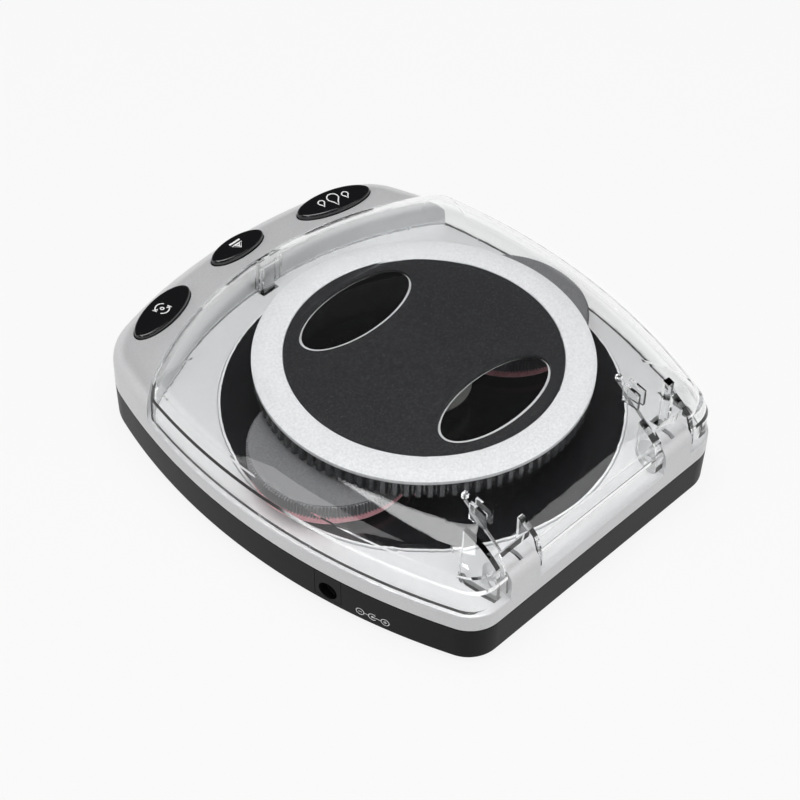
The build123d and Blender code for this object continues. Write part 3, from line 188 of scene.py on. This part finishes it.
# ---- low-voltage socket ------------------------------------------------------------------------
# A board-type socket behind its own slip of the side wall: black body, plated centre pin.
# Beside it the usual polarity sign, centre positive, is printed in white on the wall.
socket_body = Finish("socket_body", (0.010, 0.010, 0.010), 0.55)
socket_body.relief(socket_body.noise(0.0004), 0.00002)
socket_body.wear("power_socket")
pin_brass = Finish("pin_plating", (0.78, 0.70, 0.52), 0.28, Metallic=1.0)
pin_brass.feed("Roughness", 0.22 + pin_brass.noise(0.0008) * 0.16)
pin_brass.wear("socket_pin")

WALL_R = 0.208
WALL_CENTRE = (-0.1355, -0.0009)
SEAM_Z = 0.0146
DRAFT = 0.0004 / 0.01275
SIGN_Y = 0.0521
SIGN_Z = 0.0051
SIGN_STEP = 0.00415
print_white = Finish("print_white", (0.82, 0.82, 0.82), 0.5)
print_white.feed("Roughness", 0.42 + print_white.noise(0.0005) * 0.16)


def piece(name, verts, faces, finish, body):
    """A mesh piece in the row frame that rides on a body."""
    mesh = bpy.data.meshes.new(name)
    mesh.from_pydata(verts, [], faces)
    mesh.materials.append(finish.material)
    made = bpy.data.objects.new(name, mesh)
    bpy.context.scene.collection.objects.link(made)
    fix = bmesh.new()
    fix.from_mesh(mesh)
    bmesh.ops.recalc_face_normals(fix, faces=fix.faces)
    fix.to_mesh(mesh)
    fix.free()
    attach(made, body)
    return made


def stroke(points, width, closed):
    """The left and right edges of a drawn line, as pairs of (u, v) points."""
    count = len(points)
    pairs = []
    for i, (u, v) in enumerate(points):
        before = points[i - 1] if closed or i else points[i]
        after = points[(i + 1) % count] if closed or i < count - 1 else points[i]
        along = Vector((after[0] - before[0], after[1] - before[1])).normalized()
        aside = Vector((-along.y, along.x)) * width / 2
        pairs.append(((u + aside.x, v + aside.y), (u - aside.x, v - aside.y)))
    return pairs


def arc(radius, start, end, steps, centre=(0.0, 0.0)):
    """Points on a circle, angles in degrees."""
    angles = [math.radians(start + (end - start) * i / steps) for i in range(steps + 1)]
    return [(centre[0] + radius * math.cos(a), centre[1] + radius * math.sin(a)) for a in angles]


def printed(name, lines, seat, thick, finish, body):
    """A sign of drawn lines, thick ink on a curved surface: seat(u, v, height) gives a point."""
    verts, faces = [], []
    for points, width, closed in lines:
        pairs = stroke(points, width, closed)
        base = len(verts)
        for left, right in pairs:
            verts += [seat(*left, thick), seat(*right, thick), seat(*right, -thick), seat(*left, -thick)]
        spans = len(pairs) if closed else len(pairs) - 1
        for i in range(spans):
            a, b = base + 4 * i, base + 4 * ((i + 1) % len(pairs))
            faces += [(a + k, a + (k + 1) % 4, b + (k + 1) % 4, b + k) for k in range(4)]
        if not closed:
            end = base + 4 * (len(pairs) - 1)
            faces += [(base, base + 1, base + 2, base + 3), (end + 3, end + 2, end + 1, end)]
    return piece(name, verts, faces, finish, body)


def on_side_wall(u, v, height):
    """u runs back along the wall from the sign's middle, v up it, height out of it."""
    z = SIGN_Z + v
    y = SIGN_Y + u
    r = WALL_R - (SEAM_Z - z) * DRAFT + height
    return (WALL_CENTRE[0] + math.sqrt(r**2 - (y - WALL_CENTRE[1]) ** 2), y, z)


ring_r, line_w = 1.3 * MM, 0.28 * MM
sign = [(arc(ring_r, 0, 345, 23, (step * SIGN_STEP, 0)), line_w, True) for step in (-1, 1)]
sign.append((arc(ring_r, 40, 320, 20), line_w, False))
sign.append((arc(0.24 * MM, 0, 330, 11), 0.46 * MM, True))
for side in (-1, 1):
    inner = 0.3 * MM if side > 0 else ring_r
    sign.append(([(side * (SIGN_STEP - ring_r), 0), (side * inner, 0)], line_w, False))
    sign.append(([(side * SIGN_STEP - 0.6 * MM, 0), (side * SIGN_STEP + 0.6 * MM, 0)], line_w, False))
plus_u = SIGN_STEP
sign.append(([(plus_u, -0.6 * MM), (plus_u, 0.6 * MM)], line_w, False))
printed("polarity_sign", sign, on_side_wall, 0.03 * MM, print_white, "case")

# ---- drive: bushes, shaft, gears, belt and motor -----------------------------------------------
# A small can motor drives a belt wheel, whose pinion turns the large gear on the head's shaft.
# Gears are natural acetal, bushes sintered bronze, shafts bright steel, the belt square rubber.
acetal = Finish("gear_acetal", (0.72, 0.71, 0.66), 0.38, Subsurface_Weight=0.1)
acetal.feed("Base Color", acetal.mix(acetal.noise(0.004), (0.70, 0.69, 0.63), (0.78, 0.77, 0.73)))
acetal.relief(acetal.noise(0.0005), 0.00002)
acetal.wear("final_gear", "idler_gear", "sun_gear")
bronze = Finish("bush_bronze", (0.42, 0.27, 0.14), 0.45, Metallic=1.0)
pores = bronze.noise(0.00025, 4.0)
bronze.feed("Base Color", bronze.mix(pores, (0.30, 0.18, 0.09), (0.50, 0.34, 0.18)))
bronze.relief(pores, 0.00003)
bronze.wear("upper_bush", "lower_bush")
turned_steel = Finish("turned_steel", (0.62, 0.62, 0.63), 0.24, Metallic=1.0)
lathe = turned_steel.node(
    "ShaderNodeTexWave",
    {"wave_type": "BANDS", "bands_direction": "Z"},
    {"Vector": turned_steel.place(), "Scale": 1800.0, "Distortion": 1.5},
    "Fac",
)
turned_steel.feed("Roughness", 0.18 + lathe * 0.14)
turned_steel.wear(
    "drive_shaft",
    "idler_pin",
    "motor_shaft",
    "wheel_axle_left",
    "wheel_axle_right",
    "axle_clip_left",
    "axle_clip_right",
)
pulley_brass = Finish("pulley_brass", (0.72, 0.52, 0.22), 0.3, Metallic=1.0)
pulley_brass.feed("Roughness", 0.22 + pulley_brass.noise(0.0006) * 0.2)
pulley_brass.wear("motor_pulley")
belt_rubber = Finish("belt_rubber", (0.02, 0.02, 0.02), 0.6)
belt_rubber.relief(belt_rubber.noise(0.0004), 0.00005)
belt_rubber.wear("drive_belt")
can_plate = Finish("motor_plating", (0.60, 0.61, 0.62), 0.3, Metallic=1.0)
can_plate.feed("Roughness", 0.24 + can_plate.noise(0.003) * 0.16)
can_plate.wear("motor", "motor_bracket")
zinc = Finish("screw_zinc", (0.55, 0.56, 0.58), 0.35, Metallic=1.0)
zinc.feed("Roughness", 0.28 + zinc.noise(0.0007) * 0.2)
zinc.wear("case_screws", "motor_screws", "board_screws")

# ---- control board and leads -------------------------------------------------------------------
# A narrow printed board hangs under the button panel, with rubber domes under two of the keys.
# Leads run along the case floor to the socket, the motor and the lid's sensor.
board_green = Finish("board_green", (0.02, 0.13, 0.05), 0.32)
weave = board_green.node(
    "ShaderNodeTexBrick",
    {"offset": 0.5},
    {
        "Vector": board_green.place(),
        "Color1": (0.020, 0.14, 0.055, 1),
        "Color2": (0.024, 0.17, 0.065, 1),
        "Mortar": (0.05, 0.26, 0.11, 1),
        "Scale": 260.0,
        "Mortar Size": 0.03,
    },
    "Color",
)
board_green.feed("Base Color", weave)
board_green.wear("control_board")
epoxy = Finish("chip_epoxy", (0.025, 0.025, 0.026), 0.6)
epoxy.relief(epoxy.noise(0.0003), 0.00002)
epoxy.wear("control_chip")
sleeve = Finish("capacitor_sleeve", (0.05, 0.06, 0.10), 0.3)
sleeve.feed("Roughness", 0.25 + sleeve.noise(0.002) * 0.15)
sleeve.wear("board_capacitors")
plug_white = Finish("plug_white", (0.78, 0.76, 0.70), 0.42)
plug_white.relief(plug_white.noise(0.0005), 0.00002)
plug_white.wear("lead_plug")
dome_grey = Finish("dome_silicone", (0.42, 0.43, 0.45), 0.55, Subsurface_Weight=0.15)
dome_grey.relief(dome_grey.noise(0.0005), 0.00003)
dome_grey.wear("key_dome_clean", "key_dome_repair")
lead_red = Finish("lead_sleeve", (0.30, 0.02, 0.02), 0.42)
lead_red.feed("Base Color", lead_red.mix(lead_red.noise(0.006), (0.26, 0.015, 0.015), (0.34, 0.03, 0.03)))
lead_red.wear("socket_leads", "motor_leads", "sensor_leads")

# ---- latch -------------------------------------------------------------------------------------
# A sliding bolt of black acetal behind the front wall, drawn back by the middle key's slanted stem.
# Its spring and the two under the key are bright music wire.
latch_black = Finish("latch_acetal", (0.03, 0.03, 0.032), 0.4)
latch_black.relief(latch_black.noise(0.0005), 0.00002)
latch_black.wear("latch_slider", "latch_bridge", "lid_sensor")
wire = Finish("spring_wire", (0.70, 0.70, 0.71), 0.2, Metallic=1.0)
wire.feed("Roughness", 0.14 + wire.noise(0.0006) * 0.18)
wire.wear("latch_spring", "open_springs", "torsion_spring_left", "torsion_spring_right", "hinge_pins")

# ---- upper case --------------------------------------------------------------------------------
# Deck, button panel and hinge knuckles in one moulding, sprayed in satin silver.
# The paint has fine metal flake that glitters a little where it faces the light.
silver = Finish("silver_paint", (0.68, 0.68, 0.69), 0.38, Metallic=0.35, Coat_Weight=0.2, Coat_Roughness=0.3)
flake = silver.noise(0.0007, 3.0, 0.8)
cast = silver.noise(0.03, 2.0)
silver.feed("Base Color", silver.mix(flake * 0.7 + cast * 0.3, (0.54, 0.54, 0.55), (0.82, 0.82, 0.83)))
silver.feed("Roughness", 0.30 + flake * 0.14)
silver.relief(flake, 0.00001)
silver.wear("upper_case")

# ---- disc tray, mat and spindle ----------------------------------------------------------------
# A pale round tray set in the deck, with a glossy black mat that the disc lies on.
# The black post in its middle centres the disc and carries the fixed gear on two flats.
tray_pale = Finish("tray_pale", (0.72, 0.72, 0.73), 0.35, Metallic=0.2)
tray_pale.relief(tray_pale.noise(0.0005), 0.00001)
tray_pale.wear("disc_tray")
mat_black = Finish("mat_black", (0.008, 0.008, 0.009), 0.16, Coat_Weight=0.4, Coat_Roughness=0.08)
mat_black.feed("Roughness", 0.12 + mat_black.noise(0.012, 4.0) * 0.10)
mat_black.relief(mat_black.noise(0.004, 2.0), 0.00001)
mat_black.wear("tray_mat")
post_black = Finish("post_black", (0.014, 0.014, 0.015), 0.4)
post_black.relief(post_black.noise(0.0004), 0.00002)
post_black.wear("spindle_post")

# ---- pad wheels --------------------------------------------------------------------------------
# Two grey geared wheels that run round the fixed gear, each with a round pad stuck under it.
# The pads are pink abrasive foam, die-cut with a soft edge, and grainy to the eye.
wheel_grey = Finish("wheel_grey", (0.20, 0.20, 0.205), 0.4)
speckle = wheel_grey.noise(0.0005, 3.0, 0.8)
wheel_grey.feed("Base Color", wheel_grey.mix(speckle, (0.04, 0.04, 0.045), (0.22, 0.22, 0.225)))
wheel_grey.relief(wheel_grey.noise(0.0004), 0.00002)
wheel_grey.wear("pad_wheel_left", "pad_wheel_right")
pad_pink = Finish("pad_pink", (0.62, 0.22, 0.26), 0.9, Sheen_Weight=0.3)
crumb = pad_pink.noise(0.0009, 5.0, 0.7)
pad_pink.feed("Base Color", pad_pink.mix(crumb, (0.42, 0.10, 0.14), (0.85, 0.45, 0.48)))
pad_pink.relief(crumb, 0.0004)
PAD_STEPS = 120
PAD_HOLE_R = 4.0 * MM
PAD_SAG = 0.12 * MM


def foam_pad(side, body):
    """A round of foam with a hole: its rim is rounded, its sides bulge and its face is a little uneven."""
    node = "polishing_pad_" + side
    low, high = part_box(node)
    mid, rim = (low + high) / 2, (high.x - low.x) / 2
    soft = 0.7 * MM
    profile = [(PAD_HOLE_R, high.z), (PAD_HOLE_R, low.z + soft / 2), (PAD_HOLE_R + soft / 2, low.z)]
    profile += [(PAD_HOLE_R + (rim - soft - PAD_HOLE_R) * i / 14, low.z) for i in range(1, 15)]
    for i in range(1, 5):
        turn = math.radians(90 * i / 4)
        profile.append((rim - soft + soft * math.sin(turn), low.z + soft - soft * math.cos(turn)))
    profile += [(rim - 0.12 * MM, (low.z + high.z) / 2), (rim - 0.05 * MM, high.z - 0.5 * MM)]
    profile.append((rim - 0.4 * MM, high.z))
    verts = []
    for r, z in profile:
        for step in range(PAD_STEPS):
            angle = 2 * math.pi * step / PAD_STEPS
            spot = Vector((mid.x + r * math.cos(angle), mid.y + r * math.sin(angle), z))
            rough = abs(noise.noise(spot * 900)) + abs(noise.noise(spot * 260))
            inward = (spot - mid) * (PAD_SAG * rough / rim)
            if z < high.z and r > rim - soft:
                spot -= Vector((inward.x, inward.y, 0))
            elif z < high.z:
                spot -= Vector((0, 0, -PAD_SAG * rough))
            verts.append(spot)
    rings = len(profile)
    faces = []
    for ring in range(rings):
        for step in range(PAD_STEPS):
            a, b = ring * PAD_STEPS + step, ring * PAD_STEPS + (step + 1) % PAD_STEPS
            c, d = (b + PAD_STEPS) % (rings * PAD_STEPS), (a + PAD_STEPS) % (rings * PAD_STEPS)
            faces.append((a, b, c, d))
    made = piece("foam_pad_" + side, verts, faces, pad_pink, body)
    for face in made.data.polygons:
        face.use_smooth = True
    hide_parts(node)


foam_pad("left", "wheel_left")
foam_pad("right", "wheel_right")

# ---- turning head ------------------------------------------------------------------------------
# Carrier, finger-grip rim, satin silver ring and a black cap with two clear windows.
# The ring and cap are painted; the rim is dark glossy plastic with close moulded teeth.
carrier_black = Finish("carrier_black", (0.008, 0.008, 0.009), 0.5)
carrier_black.relief(carrier_black.noise(0.0005), 0.00002)
carrier_black.wear("head_carrier")
grip_dark = Finish("grip_dark", (0.025, 0.026, 0.028), 0.18, Coat_Weight=0.5, Coat_Roughness=0.1)
grip_dark.feed("Roughness", 0.14 + grip_dark.noise(0.001) * 0.14)
grip_dark.wear("grip_rim")
ring_silver = Finish("ring_silver", (0.54, 0.54, 0.55), 0.5)
ring_flake = ring_silver.noise(0.0008, 3.0, 0.8)
ring_silver.feed("Base Color", ring_silver.mix(ring_flake, (0.34, 0.34, 0.35), (0.72, 0.72, 0.73)))
ring_silver.feed("Roughness", 0.44 + ring_flake * 0.12)
ring_silver.relief(ring_flake, 0.00001)
ring_silver.wear("head_ring")
cap_black = Finish("cap_black", (0.014, 0.014, 0.015), 0.46, Specular_IOR_Level=0.3)
leather = cap_black.noise(0.0009, 4.0, 0.8)
cap_black.feed("Base Color", cap_black.mix(leather ** 4.0, (0.002, 0.002, 0.003), (0.14, 0.14, 0.145)))
cap_black.feed("Roughness", 0.38 + leather * 0.14)
cap_black.relief(leather, 0.00006)
cap_black.wear("head_cap")

# ---- lid and windows ---------------------------------------------------------------------------
# Clear polished styrene, faintly smoky in its thickness, so its edges read grey and bright.
# Lamps reach the parts inside through it, as through the real thin wall.


class Clear(Finish):
    """A clear plastic that lets the lamps through to what it covers."""

    def __init__(self, name, tint, through):
        super().__init__(name, tint, 0.02, IOR=1.49)
        self.shader.inputs["Transmission Weight"].default_value = 1.0
        output = self.tree.nodes["Material Output"]
        lamp_ray = self.node("ShaderNodeLightPath", {}, {}, "Is Shadow Ray")
        passing = self.node("ShaderNodeBsdfTransparent", {}, {"Color": (*through, 1.0)})
        body = Field(self, self.shader.outputs[0])
        both = self.node("ShaderNodeMixShader", {}, {0: lamp_ray, 1: body, 2: passing})
        self.link(output.inputs["Surface"], both)


lid_clear = Clear("lid_clear", (0.97, 0.975, 0.975), (0.965, 0.97, 0.97))
lid_clear.feed("Roughness", 0.01 + lid_clear.noise(0.02, 2.0) * 0.02)
lid_clear.wear("lid")
# Painted shade: the windows pass only 0.35 of the lamps' light at each face, far less than their own tint,
# so the hollow of the head beneath them reads dark.
window_clear = Clear("window_clear", (0.72, 0.73, 0.74), (0.35, 0.35, 0.35))
window_clear.feed("Roughness", 0.01 + window_clear.noise(0.01, 2.0) * 0.02)
# Painted highlight: the sloping bevel round each window is 70 % a white diffuse sheet, standing in for the
# bright edge line that light makes on the clear plastic.
outward = window_clear.node("ShaderNodeNewGeometry", {}, {}, "True Normal")
tilt = window_clear.node("ShaderNodeSeparateXYZ", {}, {0: outward}, 2)
BEVEL_TILTS = (0.5, 0.9)
bevel = (tilt > BEVEL_TILTS[0]) * (tilt < BEVEL_TILTS[1])
BEVEL_HIGHLIGHT_SHARE = 0.7
painted_bevel_highlight = window_clear.node("ShaderNodeBsdfDiffuse", {}, {"Color": (0.8, 0.8, 0.8, 1.0)})
window_out = window_clear.tree.nodes["Material Output"].inputs["Surface"]
clear_part = Field(window_clear, window_out.links[0].from_socket)
window_with_painted_highlight = window_clear.node("ShaderNodeMixShader", {}, {0: bevel * BEVEL_HIGHLIGHT_SHARE, 1: clear_part, 2: painted_bevel_highlight})
window_clear.link(window_out, window_with_painted_highlight)
window_clear.wear("window_front", "window_rear")

# ---- keys --------------------------------------------------------------------------------------
# Three domed oval keys in gloss black, each with a plain sign printed in white.
# The signs stand for washing, lifting the lid and turning the pads.
key_black = Finish("key_black", (0.006, 0.006, 0.007), 0.12, Coat_Weight=0.5, Coat_Roughness=0.05)
key_black.feed("Roughness", 0.10 + key_black.noise(0.003) * 0.06)
key_black.wear("clean_button", "open_button", "repair_button")
KEY_DOME_R = 0.150


def on_key(node, turn):
    """A seat on a key's dome: u along the key, v across it."""
    low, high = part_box(node)
    mid = (low + high) / 2
    c, s = math.cos(math.radians(turn)), math.sin(math.radians(turn))

    def seat(u, v, height):
        drop = KEY_DOME_R - math.sqrt(KEY_DOME_R**2 - u * u - v * v)
        return (mid.x + u * c - v * s, mid.y + u * s + v * c, high.z - drop + height)

    return seat


def scaled(points, k):
    return [(u * k, v * k) for u, v in points]


drop_shape = arc(1.0, -218, 38, 26, (0, -0.35))
drop_shape += [(0.40, 0.85), (0.0, 1.75), (-0.40, 0.85)]
drop_small = scaled(drop_shape, 0.55)
ink = 0.42 * MM
drop_lines = [(scaled(drop_shape, 2.0 * MM), ink, True)]
for side in (-1, 1):
    moved = [(u * 2.0 * MM + side * 4.6 * MM, v * 2.0 * MM) for u, v in drop_small]
    drop_lines.append((moved, ink, True))
printed("clean_sign", drop_lines, on_key("clean_button", -14), 0.04 * MM, print_white, "clean_key")

triangle = [(-2.1 * MM, -0.2 * MM), (2.1 * MM, -0.2 * MM), (0, 1.9 * MM)]
eject = [(triangle, ink, True), (scaled(triangle, 0.55), 0.9 * MM, True)]
eject.append(([(-2.3 * MM, -1.4 * MM), (2.3 * MM, -1.4 * MM)], 0.7 * MM, False))
printed("open_sign", eject, on_key("open_button", 0), 0.04 * MM, print_white, "open_key")

turning = []
for start in (20, 200):
    turning.append((arc(2.3 * MM, start, start + 130, 16), ink, False))
    tip = math.radians(start + 142)
    head = [(2.3 * MM * math.cos(tip), 2.3 * MM * math.sin(tip))]
    for reach in (1.5 * MM, 3.1 * MM):
        angle = math.radians(start + 118)
        head.append((reach * math.cos(angle), reach * math.sin(angle)))
    turning.append((head, ink, True))
turning.append((arc(0.55 * MM, 0, 330, 11), ink, True))
printed("repair_sign", turning, on_key("repair_button", 14), 0.04 * MM, print_white, "repair_key")

# ---- table, light and camera -------------------------------------------------------------------
# A plain white table and soft studio light: a wide overhead panel, two side panels and a small lamp.
# The camera stands at the machine's rear corner, on the socket side, looking down.
FLOOR_HALF = 3.0
floor = bpy.data.objects.new("table_floor", bpy.data.meshes.new("table_floor"))
corners = [(-1, -1), (1, -1), (1, 1), (-1, 1)]
floor.data.from_pydata([(x * FLOOR_HALF, y * FLOOR_HALF, 0) for x, y in corners], [], [(0, 1, 2, 3)])
bpy.context.scene.collection.objects.link(floor)
FLOOR_SHOWN_WHITE = 0.88
floor_white = Finish("floor_white", (0.60, 0.60, 0.60), 0.6)
white = floor_white.node("ShaderNodeEmission", {}, {"Color": (1, 1, 1, 1), "Strength": 1.0})
lit = Field(floor_white, floor_white.shader.outputs[0])
floor_share = floor_white.shown() * FLOOR_SHOWN_WHITE
both = floor_white.node("ShaderNodeMixShader", {}, {0: floor_share, 1: lit, 2: white})
floor_white.link(floor_white.tree.nodes["Material Output"].inputs["Surface"], both)
floor.data.materials.append(floor_white.material)

# The walls of the studio are white to head height; above them it is dark but for the lamps.
WALL_TOP = math.sin(math.radians(9))
DARK_FROM = math.sin(math.radians(20))
scene = bpy.context.scene
scene.world = bpy.data.worlds.new("studio")
scene.world.use_nodes = True
studio = Shading(scene.world.node_tree)
facing = studio.node("ShaderNodeTexCoord", {}, {}, "Generated")
height = studio.node("ShaderNodeSeparateXYZ", {}, {0: facing}, 2)
shade = studio.node(
    "ShaderNodeMapRange",
    {"interpolation_type": "SMOOTHSTEP"},
    {"Value": height, "From Min": WALL_TOP, "From Max": DARK_FROM, "To Min": 1.0, "To Max": 0.04},
)
walls = studio.node("ShaderNodeBackground", {}, {"Color": (1, 1, 1, 1), "Strength": shade})
fill = studio.node("ShaderNodeBackground", {}, {"Color": (1, 1, 1, 1), "Strength": 0.24})
view = studio.node("ShaderNodeMixShader", {}, {0: studio.shown(), 1: fill, 2: walls})
studio.link(studio.tree.nodes["World Output"].inputs["Surface"], view)


LAMP_AIM = Vector((0, 0, 0.02))


def lamp(name, place, size, power):
    """A rectangular lamp that faces the machine."""
    data = bpy.data.lights.new(name, "AREA")
    data.shape = "RECTANGLE"
    data.size, data.size_y = size
    data.energy = power
    made = bpy.data.objects.new(name, data)
    made.location = place
    made.rotation_euler = (LAMP_AIM - Vector(place)).to_track_quat("-Z", "Y").to_euler()
    bpy.context.scene.collection.objects.link(made)


lamp("lamp_top", (0.05, 0.05, 0.85), (0.6, 0.5), 5.0)
lamp("lamp_right", (0.75, -0.25, 0.45), (0.4, 0.5), 0.9)
lamp("lamp_rear", (-0.35, 0.75, 0.45), (0.5, 0.4), 0.9)
lamp("lamp_spark", (0.50, 0.42, 0.75), (0.12, 0.12), 0.8)

# Where the camera stands, and how it is rolled.
VIEW_AZIMUTH, VIEW_HEIGHT, VIEW_ROLL = (math.radians(a) for a in (133.02, 45.23, 1.59))
VIEW_DISTANCE = 0.73443
VIEW_FOCAL = 2325.11 / 800
SENSOR = 36.0
AIM = Vector((0, 0.0096, 0.0211))
AIM_OFFSET = ((422.55 - 400) / 800, (397.49 - 400) / 800)
away = Vector((
    math.sin(VIEW_AZIMUTH) * math.cos(VIEW_HEIGHT),
    -math.cos(VIEW_AZIMUTH) * math.cos(VIEW_HEIGHT),
    math.sin(VIEW_HEIGHT),
))
level = Vector((0, 0, 1)).cross(away).normalized()
upright = away.cross(level)
right = level * math.cos(VIEW_ROLL) + upright * math.sin(VIEW_ROLL)
up = upright * math.cos(VIEW_ROLL) - level * math.sin(VIEW_ROLL)
shift = right * -AIM_OFFSET[0] + up * AIM_OFFSET[1]
stand = AIM + (away + shift / VIEW_FOCAL) * VIEW_DISTANCE
camera = bpy.data.objects.new("camera", bpy.data.cameras.new("camera"))
camera.data.sensor_width = SENSOR
camera.data.lens = VIEW_FOCAL * SENSOR
camera.matrix_world = Matrix.Translation(stand) @ Matrix((right, up, away)).transposed().to_4x4()
scene.collection.objects.link(camera)
scene.camera = camera
scene.view_settings.view_transform = "Standard"
